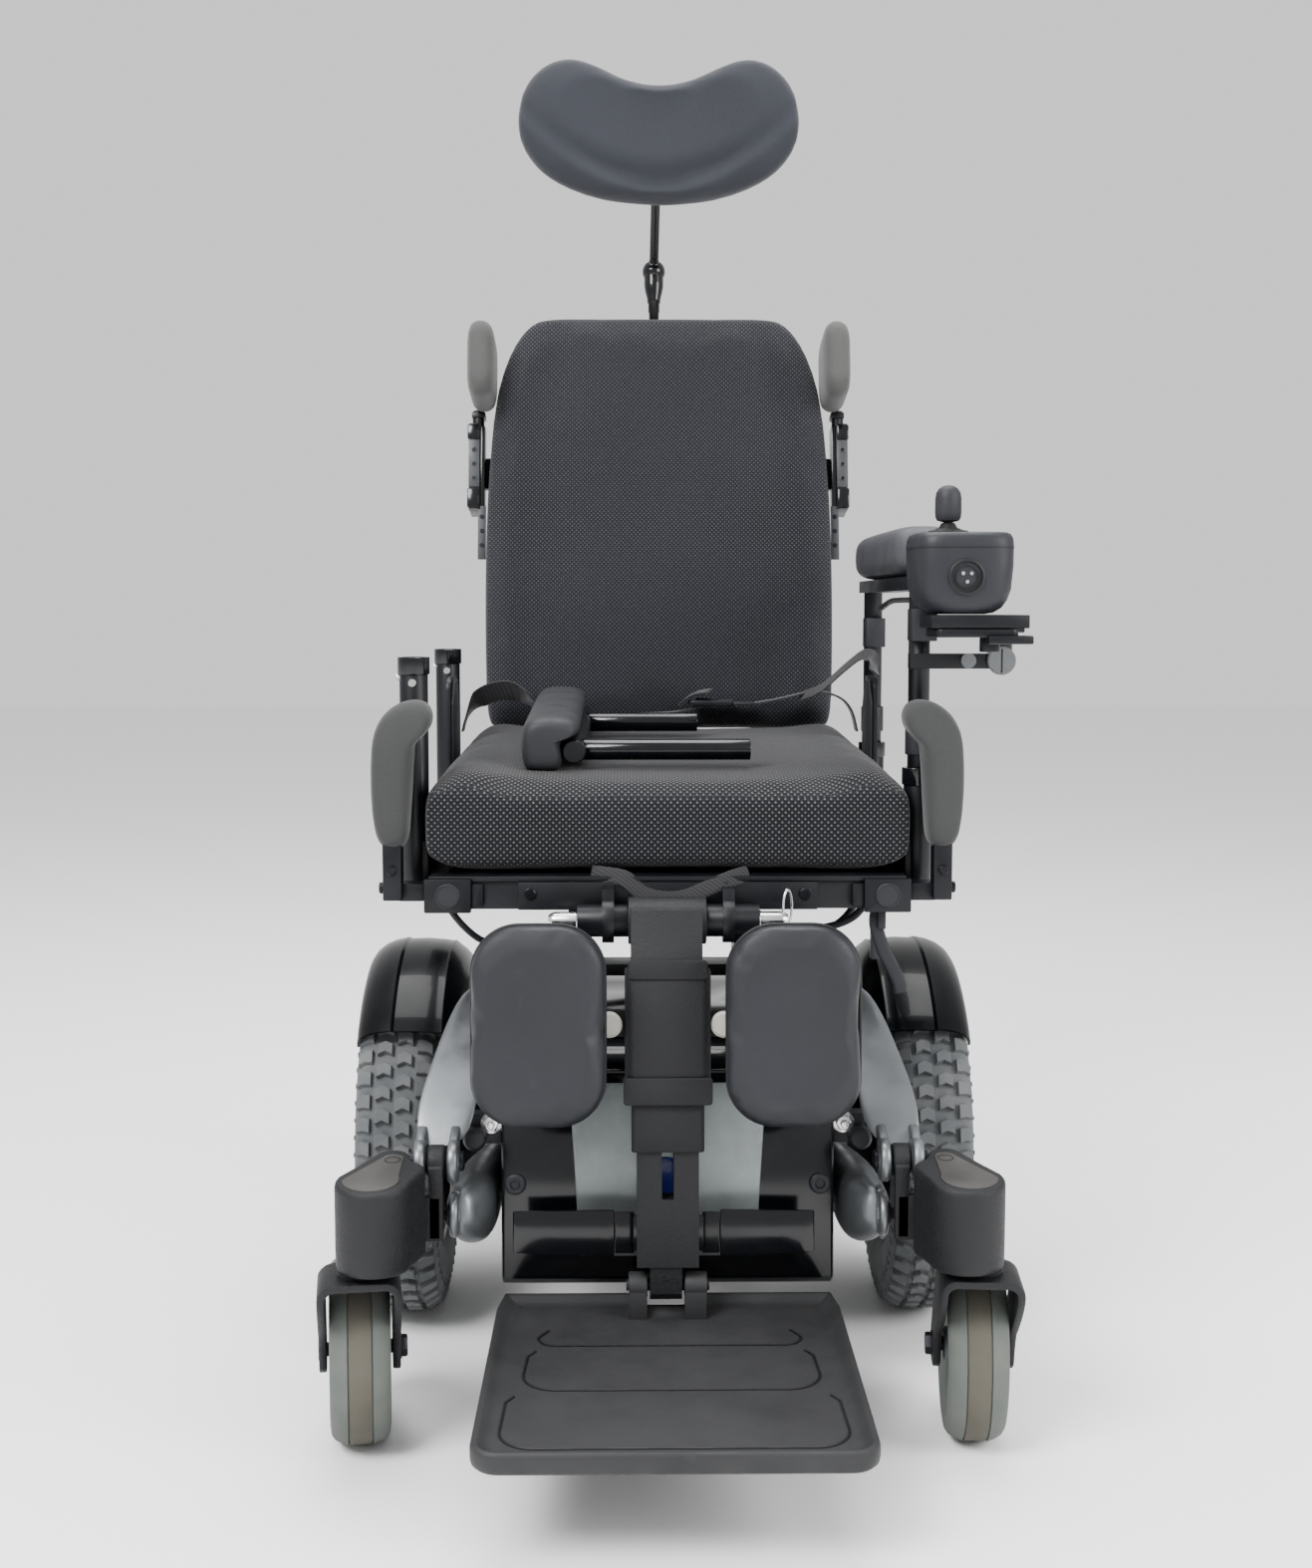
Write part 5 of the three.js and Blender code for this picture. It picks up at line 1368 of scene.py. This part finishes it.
def footplate():
    """A dished tray notched for its hinge."""
    outline = resample([(15, 8), (15, 33), (141, 33), (146, 3)] + arc(128, -234, 22, 0, -90, 8) + arc(-128,
        -234, 22, 270, 180, 8) + [(-146, 3), (-141, 33), (-20, 33), (-20, 8)], 7)
    bm = bmesh.new()
    loft(bm, [[at(x, y, z) for x, y in tray_ring(outline, inset)] for inset, z in ((6, -38), (3, -37.4),
        (0.6, -35), (0, -31), (0, -24.5), (0.8, -21.6), (2.4, -20.2), (4.4, -20.2), (6.4, -21.4),
        (10, -24.4), (13, -25.9), (16, -26.4), (18, -26.4))])
    bmesh.ops.remove_doubles(bm, verts=bm.verts, dist=1e-5)
    piece("footplate_tray", bm, "footplate", "foot_plastic", ("footplate",), turn=FOOT, angle=50)
    bm = bmesh.new()
    for a, b in ((-34, -18), (13, 32)):
        lathe(bm, [(5.4, a), (10.2, a), (11, a + 0.8), (11, b - 0.8), (10.2, b), (5.4, b)], at(0, 0, 0),
            (1, 0, 0), 36)
        plate(bm, [(-10.6, -2), (-10.6, -27), (10.6, -27), (10.6, -2), (6, -1.5), (-6, -1.5)], "X", a + 0.4,
            b - 0.4)
    piece("footplate_hinge", bm, "footplate", "foot_plastic", bevel=0.6, turn=FOOT)


def heel_guard():
    """Two glossy wings, thinner and bowed back toward their tips, on a flat bridge."""
    bm = bmesh.new()
    for x0, x1 in ((-132.5, -46), (44, 124.5)):
        outer = x0 if x0 < 0 else x1
        rings = []
        for t in (0, 0.04, 0.15, 0.35, 0.6, 0.85, 1):
            x = x0 + (x1 - x0) * t
            near = 1 - abs(x - outer) / (x1 - x0)
            bow = 2.6 * near ** 3
            low, high = -286.4 + 2.6 * near ** 2, -247.2 - 1.2 * near ** 2
            rings.append([at(x, 1.2 + bow, low), at(x, 6.6, low), at(x, 6.6, high), at(x, 1.2 + bow, high)])
        loft(bm, rings)
    piece("heel_guard_wings", bm, "leg_lower", "gloss_black", ("heel_guard",), bevel=1.2, turn=LEG)
    bm = bmesh.new()
    block(bm, (-45.4, 1.6, -284), (-29, 6.4, -249))
    block(bm, (29, 1.6, -284), (43.4, 6.4, -249))
    block(bm, (-30, 1.4, -282), (30, 6.4, -252))
    piece("heel_guard_bridge", bm, "leg_lower", "gloss_black", bevel=0.9, turn=LEG)


def leg_trim():
    """The bands on the leg's sleeve, its collar, the pad bar's bosses and the pivot pins."""
    bm = bmesh.new()
    plate(bm, rounded(-38.2, 36.2, -151, -128, 3), "Y", -36.2, -33.6)
    plate(bm, rounded(-34, 32, -46, -30, 3), "Y", -36.0, -33.6)
    piece("sleeve_band", bm, "leg", "wrinkle_black", bevel=0.8, turn=LEG)
    bm = bmesh.new()
    plate(bm, rounded(-31.5, 29.5, -30.5, 3.5, 4), "Z", -191.4, -151.6)
    piece("leg_collar", bm, "leg_lower", "wrinkle_black", bevel=1.0, turn=LEG)
    bm = bmesh.new()
    for x in (-50, 46):
        lathe(bm, [(0, 0), (10, 0), (11, 1), (11, 5), (9, 7), (0, 7)], at(x, -21, -85), (0, -1, 0), 36)
    piece("pad_bar_bosses", bm, "leg", "cream", turn=LEG)
    bm = bmesh.new()
    for s in MIRROR:
        lathe(bm, [(0, 74), (9, 74), (9, 77), (7.5, 78), (7.5, 96), (6.6, 99), (5, 101.5), (0, 101.5)],
            at(0, *LEG_PIVOT), (s, 0, 0), 36)
    ring_path = [at(101 + 4 * math.cos(a), -300 + 4 * math.cos(a), 448 + 15 * math.sin(a))
        for a in (2 * math.pi * k / 24 for k in range(25))]
    sweep(bm, ring_path, 1.1, 1.1, 8)
    piece("leg_pivot_pins", bm, "seat", "zinc")


def footplate_lines():
    """The three shallow grooves pressed into the tray, as thin beads of dark plastic: painted shade in the
    grooves.
    """
    bm = bmesh.new()
    for front, rear, half in ((-236, -152, 130), (-142, -72, 117), (-62, -33, 108)):
        corner = min(26, (rear - front) / 2)
        path = [(-half + 8, rear), (-half + 2, rear - 10)] + arc(-half + corner, front + corner, corner,
            180, 270, 8)
        path += [(0, front)] + arc(half - corner, front + corner, corner, 270, 360,
            8) + [(half - 2, rear - 10), (half - 8, rear)]
        sweep(bm, [at(x, y, -25.9) for x, y in path], 1.1, 0.7, 6)
    piece("footplate_lines", bm, "footplate", "piping", turn=FOOT)


# ---------------------------------------------------------------- seat frame hardware, belt and posts


def front_rail():
    """The seat frame and what shows on its front rail: end blocks, plugs, face plate and screws."""
    carried("seat_frame", "rail_black", 1.0)
    for s, side in SIDES:
        carried(f"arm_receiver_{side}", "rail_black", 0.8)
    bm = bmesh.new()
    for s in MIRROR:
        plate(bm, rounded(*sorted((s * 168, s * 208)), 441.5, 470.5, 1.5), "Y", -288, -279.8)
        plate(bm, rounded(*sorted((s * 158, s * 168)), 446, 466, 1.5), "Y", -284, -279.8)
    piece("rail_end_blocks", bm, "seat", "rail_black", bevel=0.8)
    bm = bmesh.new()
    for s in MIRROR:
        lathe(bm, [(0, 0), (10.8, 0), (10.8, 1.0), (10, 1.8), (9.4, 1.8), (9.2, 1.1), (0, 1.3)],
            at(s * 188, -287.8, 456), (0, -1, 0), 40)
    piece("rail_end_plugs", bm, "seat", "plastic")
    bm = bmesh.new()
    plate(bm, [(-128, 443.5), (128, 443.5), (128, 467.5), (-128, 467.5)], "Y", -283.4, -280.2)
    block(bm, (-52, -286, 446), (-46, -280.2, 468))
    block(bm, (46, -286, 446), (52, -280.2, 468))
    block(bm, (-204, -284, 468.4), (204, -262, 472.6))
    piece("front_rail_face", bm, "seat", "rail_black", bevel=0.7)
    bm = bmesh.new()
    for x in (-118, 118):
        lathe(bm, [(0, 0), (5.4, 0), (5.4, 1.4), (4.6, 2), (2.4, 2), (2.4, 0.6), (0, 0.6)],
            at(x, -283.2, 457), (0, -1, 0), 24)
    for x in (-12, 20):
        lathe(bm, [(0, 0), (2.6, 0), (2.6, 1), (0, 1.4)], at(x, -283.2, 446), (0, -1, 0), 20)
    piece("front_rail_screws", bm, "seat", "bolt_black")


def seat_lever_and_leads():
    bm = bmesh.new()
    block(bm, (181, -276, 425), (188, -262, 444))
    sweep(bm, curve_points([at(183, -268, 446), at(180, -270, 430), at(186, -271, 408), at(194, -270, 392),
        at(201, -268, 377), at(203, -266, 368)], 6), 6.0, 2.4, 12, 4.0, guide=Vector((1, 0, 0.2)))
    block(bm, (176, -272, 398), (184, -262, 436))
    piece("release_lever", bm, "seat", "plastic", bevel=0.7)
    bm = bmesh.new()
    for points, r in (([(176, -252, 447), (160, -250, 430), (132, -245, 421), (100, -240, 424),
            (74, -236, 436)], 3.4), ([(170, -240, 447), (150, -238, 424), (120, -232, 412),
            (90, -225, 418)], 3.0), ([(-196, -240, 446), (-180, -238, 424), (-162, -230, 408),
            (-140, -220, 404)], 3.0)):
        sweep(bm, curve_points([at(*p) for p in points], 7), r, r, 10)
    piece("seat_leads", bm, "seat", "plastic")


def receiver_trim():
    """Collars and buttons on the armrest receivers, and the guards beside the cushion."""
    bm = bmesh.new()
    for s, top in ((-1, 657), (1, 560)):
        for y in POST_YS:
            lathe(bm, [(10.2, top - 14), (13.6, top - 14), (14, top - 13), (14, top + 0.5),
                (13.4, top + 1.2), (10.2, top + 1.2)], at(s * POST_X, y, 0), (0, 0, 1), 40)
    piece("receiver_collars", bm, "seat", "gloss_black")
    bm = bmesh.new()
    for y in POST_YS:
        pin(bm, at(-236.5, y, 640), at(-232, y, 640), 3.2, 20, 0.5)
        pin(bm, at(-POST_X, y - 13, 636), at(-POST_X, y - 12.2, 636), 3.4, 20, 0.2)
    piece("receiver_buttons", bm, "seat", "zinc")
    bm = bmesh.new()
    for s, side in SIDES:
        plate(bm, [(-6, 505), (68, 505), (68, 596), (52, 628), (18, 628), (-6, 606)], "X",
            *sorted((s * 206.4, s * 208.8)))
    piece("side_guards", bm, "seat", "soft_plastic", bevel=1.6)


def lap_belt():
    """Webbing laid across the cushion, twisted at its right end, with a buckle, tail and strap."""
    y = 142
    route = [(-209.5, 570), (-206, 583), (-199, 596), (-189, 606), (-175, 612), (-160, 613), (-147, 608),
        (-137, 600), (-126, 594), (-112, 590), (-90, 588), (-60, 587.5), (-20, 588), (16, 590), (34, 594),
        (46, 597), (88, 597.5), (104, 600), (122, 603), (140, 607), (158, 611), (174, 611), (188, 607),
        (198, 600), (205, 588), (209.5, 570)]
    bm = bmesh.new()
    path = curve_points([at(x, y, z) for x, z in route], 4)
    rings = []
    for i, place in enumerate(path):
        ahead = (path[min(i + 1, len(path) - 1)] - path[max(i - 1, 0)]).normalized()
        flat = max(0.0, min(1.0, (-118 - place.x / MM) / 46))
        turn = math.radians(60) * flat * flat * (3 - 2 * flat) * min(1.0,
            max(0.0, (place.x / MM + 206) / 14))
        wide = Vector((0, math.cos(turn), 0)) + Vector((0, 0, -math.sin(turn)))
        wide = (wide - ahead * wide.dot(ahead)).normalized()
        rings.append(ellipse(place, wide * 12 * MM, ahead.cross(wide) * 1.1 * MM, 12, 6.0))
    loft(bm, rings)
    piece("lap_belt_webbing", bm, "seat", "webbing", ("lap_belt",))
    bm = bmesh.new()
    plate(bm, rounded(30, 78, y - 18, y + 18, 6), "Z", 598.6, 603.4)
    plate(bm, rounded(38, 62, y - 10, y + 10, 5), "Z", 603.2, 605.6)
    plate(bm, rounded(76, 100, y - 16.5, y + 16.5, 4), "Z", 597.6, 601.2)
    piece("lap_belt_buckle", bm, "seat", "plastic", bevel=1.2)
    bm = bmesh.new()
    sweep(bm, curve_points([at(22, y - 3, 599), at(30, y - 8, 606), at(40, y - 14, 611),
        at(52, y - 20, 613)], 5), 9, 1.4, 12, 6.0, guide=Vector((0.3, 1, 0.2)))
    piece("lap_belt_tail", bm, "seat", "webbing")
    bm = bmesh.new()
    sweep(bm, curve_points([at(150, 138, 607), at(168, 96, 618), at(186, 46, 640), at(199, 8, 654),
        at(205.5, -16, 652), at(206, -34, 638)], 6), 7, 0.9, 10, 6.0, guide=Vector((0.2, 1, 0.6)))
    piece("lap_belt_hip_strap", bm, "seat", "webbing")


# ---------------------------------------------------------------- back frame, headrest post


def back_hardware():
    carried("back_shell", "plastic", 2.0)
    carried("back_frame", "rail_black", 1.0)
    bm = bmesh.new()
    for s in MIRROR:
        lathe(bm, [(0, 384.6), (11.4, 384.6), (11.4, 387.5), (9.5, 389), (0, 389)], at(s * 120, 75, 0),
            (0, 0, 1), 36)
        lathe(bm, [(11.2, 96), (14, 96), (14, 128), (11.2, 128)], at(s * 120, 75, 0), (0, 0, 1), 36)
    piece("cane_caps", bm, "back", "plastic", turn=BACK)
    bm = bmesh.new()
    for s in MIRROR:
        for z in (263, 282):
            lathe(bm, [(0, 0), (6, 0), (6, 3.6), (5, 4.6), (0, 4.6)], at(s * 150, 70.6, z), (0, 1, 0), 24)
        for z in (60, 200, 350):
            lathe(bm, [(0, 0), (7, 0), (6.4, 2.2), (0, 3)], at(s * 60, 60.4, z), (0, 1, 0), 28)
    pin(bm, at(-4, 93, 351), at(-4, 103, 351), 9, 28, 1.5)
    piece("back_frame_bolts", bm, "back", "bolt_black", turn=BACK)


def headrest_links():
    """The stalk up from the back and the link that joins it to the pad by two balls."""
    bm = bmesh.new()
    lathe(bm, [(0, 240), (5, 240), (5.6, 241), (5.6, 456), (6.4, 457), (6.4, 467), (7.4, 468), (7.6, 472),
        (9.6, 480), (10.8, 486), (11, 490), (11, 512), (0, 512)], at(-4, 78, 0), (0, 0, 1), 48)
    piece("headrest_stalk", bm, "headrest_post", "gloss_black", ("headrest_post",), turn=BACK, angle=60)
    low, high = at(-4, 341, 1082.6), at(-2, 277.4, 1180)
    axis = high - low
    length = axis.length / MM
    bm = bmesh.new()

    def ball(radius):
        turns = range(0, 181, 9)
        return [(0 if a in (0, 180) else radius * math.sin(math.radians(a)),
            -radius * math.cos(math.radians(a))) for a in turns]

    lathe(bm, ball(13), low, axis, 40)
    lathe(bm, [(0, 9), (6.2, 9), (5.2, 16), (5.2, length - 8), (0, length - 8)], low, axis, 40)
    lathe(bm, ball(11), high, axis, 40)
    piece("headrest_ball_link", bm, "headrest_link", "gloss_black", ("headrest_link",), angle=60)


# ---------------------------------------------------------------- left armrest and joystick


def joystick_pod():
    """The housing with its seam, and the charge socket with three pins in its front."""
    carried("armrest_frame", "rail_black", 1.0)
    carried("joystick_arm", "rail_black", 1.2)
    bm = bmesh.new()
    rings = [ellipse(at(POD_X, y, z), Vector((hw, 0, 0)) * MM, Vector((0, hd, 0)) * MM, 48, sq) for z, y,
        hw, hd, sq in ((695.6, -297, 20, 26, 2.6), (697, -297, 27, 33, 3), (701, -296, 33, 39, 3.4),
        (707, -294.6, 37, 42.5, 3.8), (716, -293.6, 40, 44.6, 4.2), (735, -293, 41.6, 46, 4.4),
        (752, -293, 41.8, 46, 4.4), (758, -293, 41.2, 45.4, 4.4), (761.6, -293, 39.4, 43.4, 4.2),
        (762.9, -293, 36.5, 40.5, 4))]
    loft(bm, rings)
    piece("joystick_pod", bm, "joystick", "plastic", ("joystick_housing",), angle=40)
    bm = bmesh.new()
    rings = [ellipse(at(POD_X, -293, z), Vector((hw, 0, 0)) * MM, Vector((0, hd, 0)) * MM, 48, 4.4)
        for z, hw, hd in ((749.6, 40.5, 44.5), (749.6, 42.0, 46.2), (750.8, 42.0, 46.2),
        (750.8, 40.5, 44.5))]
    loft(bm, rings, caps=False)
    piece("joystick_pod_seam", bm, "joystick", "piping")
    bm = bmesh.new()
    lathe(bm, [(0, -2), (15, -2), (15, 1.6), (14, 2.2), (12.6, 2.2), (12, 0.4), (9.6, 0.2), (9.6, 1.4),
        (8.8, 1.4), (8.6, -0.6), (0, -0.6)], at(243, -338.4, 726), (0, -1, 0), 48)
    piece("charge_socket", bm, "joystick", "piping")
    bm = bmesh.new()
    for x, z in ((240, 729), (247, 729), (243.5, 722)):
        pin(bm, at(x, -337.6, z), at(x, -340, z), 1.5, 16, 0.3)
    piece("charge_socket_pins", bm, "joystick", "zinc")


def joystick_controls():
    """Gaiter, gimbal, knob, power key and the row of keys."""
    bm = bmesh.new()
    lathe(bm, [(0, 762.6), (17.5, 762.6), (17.5, 764.2), (15.8, 765.2), (14.2, 764.4), (13, 765.8),
        (11.6, 765.2), (10, 767), (8.4, 766.6), (7, 769), (5.5, 771.5), (0, 771.5)], at(*STICK, 0),
        (0, 0, 1), 40)
    piece("joystick_gaiter", bm, "joystick", "piping")
    bm = bmesh.new()
    bmesh.ops.create_uvsphere(bm, u_segments=20, v_segments=12, radius=2.2 * MM,
        matrix=Matrix.Translation(at(*STICK, 760)))
    piece("joystick_gimbal_ball", bm, frame["nodes"]["joystick_gimbal"]["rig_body"], "bolt_black",
        ("joystick_gimbal",))
    bm = bmesh.new()
    lathe(bm, [(0, 769), (4, 769), (4, 772), (9.2, 773.4), (10.6, 776), (11, 780), (10.9, 792),
        (10.2, 796.5), (8, 800), (4.6, 802.2), (0, 803)], at(*STICK, 0), (0, 0, 1), 48)
    piece("joystick_knob", bm, "stick", "soft_plastic", ("joystick_stick",))
    bm = bmesh.new()
    lathe(bm, [(0, 759.2), (5.9, 759.2), (5.9, 763.6), (5.2, 764.4), (0, 764.6)], at(262, -264, 0),
        (0, 0, 1), 36)
    piece("power_key", bm, "power_button", "soft_plastic", ("power_button",))
    bm = bmesh.new()
    for x in (222, 236, 250):
        plate(bm, rounded(x - 4.6, x + 4.6, -270, -264, 1.4), "Z", 762.6, 763.6)
    plate(bm, rounded(214, 252, -259, -254, 1.5), "Z", 762.6, 763.4)
    piece("joystick_keys", bm, "joystick", "blade_grey", bevel=0.3)


def joystick_bracket():
    """The clamp knob, the armrest's clamps and the plate under the pod."""
    bm = bmesh.new()
    lathe(bm, [(0, 0), (12.5, 0), (12.5, 2), (11.4, 3), (0, 3)], at(291, -239.8, 655), (0, -1, 0), 40)
    lathe(bm, [(0, 0), (6.5, 0), (6.5, 4), (0, 4)], at(262, -239.4, 655), (0, -1, 0), 24)
    piece("joystick_bracket_knob", bm, "armrest", "hub")
    # The slot across the knob's face is a thin block of dark plastic: painted shade in the slot.
    bm = bmesh.new()
    block(bm, (290.4, -243.2, 644.6), (291.6, -242.4, 665.4))
    piece("joystick_bracket_knob_slot", bm, "armrest", "piping")
    bm = bmesh.new()
    block(bm, (212, -246, 672), (234, -216, 700))
    block(bm, (212, 84, 660), (232, 114, 690))
    for y in POST_YS:
        lathe(bm, [(9.6, 572), (11.6, 572.6), (11.6, 598), (9.6, 598.6)], at(POST_X, y, 0), (0, 0, 1), 36)
    piece("armrest_clamps", bm, "armrest", "plastic", bevel=1.4)
    bm = bmesh.new()
    plate(bm, rounded(220, 288, -332, -268, 5), "Z", 676.5, 683.4)
    block(bm, (262, -338, 671), (299, -318, 678))
    lathe(bm, [(0, 664), (8.5, 664), (8.5, 676.5), (0, 676.5)], at(268, -308, 0), (0, 0, 1), 32)
    piece("joystick_under_plate", bm, "joystick", "rail_black", bevel=1.2)


for s, side in SIDES:
    drive_tyre(s, side)
    drive_rim(s, side)
    fender(s, side)
    caster("front", s, side, FRONT_SWIVEL, 66, FRONT_TOE[side])
    caster("rear", s, side, REAR_SWIVEL, 50, 0)
    upper_arm(s, side)
    lower_arm(s, side)
    rear_arm(s, side)
    suspension_pins(s, side)
    caster_housing(s, side)
base()
carried("leg_sleeve", "wrinkle_black", 1.6)
carried("leg_lower", "wrinkle_black", 1.2)
footplate()
heel_guard()
leg_trim()
footplate_lines()
front_rail()
seat_lever_and_leads()
receiver_trim()
lap_belt()
back_hardware()
headrest_links()
joystick_pod()
joystick_controls()
joystick_bracket()

# ---------------------------------------------------------------- finishes of the carried-over CAD

NODE_FINISH = {"black_paint": "rail_black", "gloss_black": "gloss_black", "cast_aluminium": "cast",
    "textured_black": "wrinkle_black", "silver_panel": "panel", "tyre_rubber": "tyre",
    "caster_tyre": "caster_rubber", "wheel_rim": "rim", "spacer_fabric": "back_mesh",
    "pad_fabric": "pad_knit", "moulded_plastic": "plastic", "webbing": "webbing",}
for part in frame["record"]["subparts"]:
    mesh = frame["nodes"][part["node"]].data
    for number in range(len(mesh.materials)):
        mesh.materials[number] = MAT[NODE_FINISH[part["material_slot"]]]
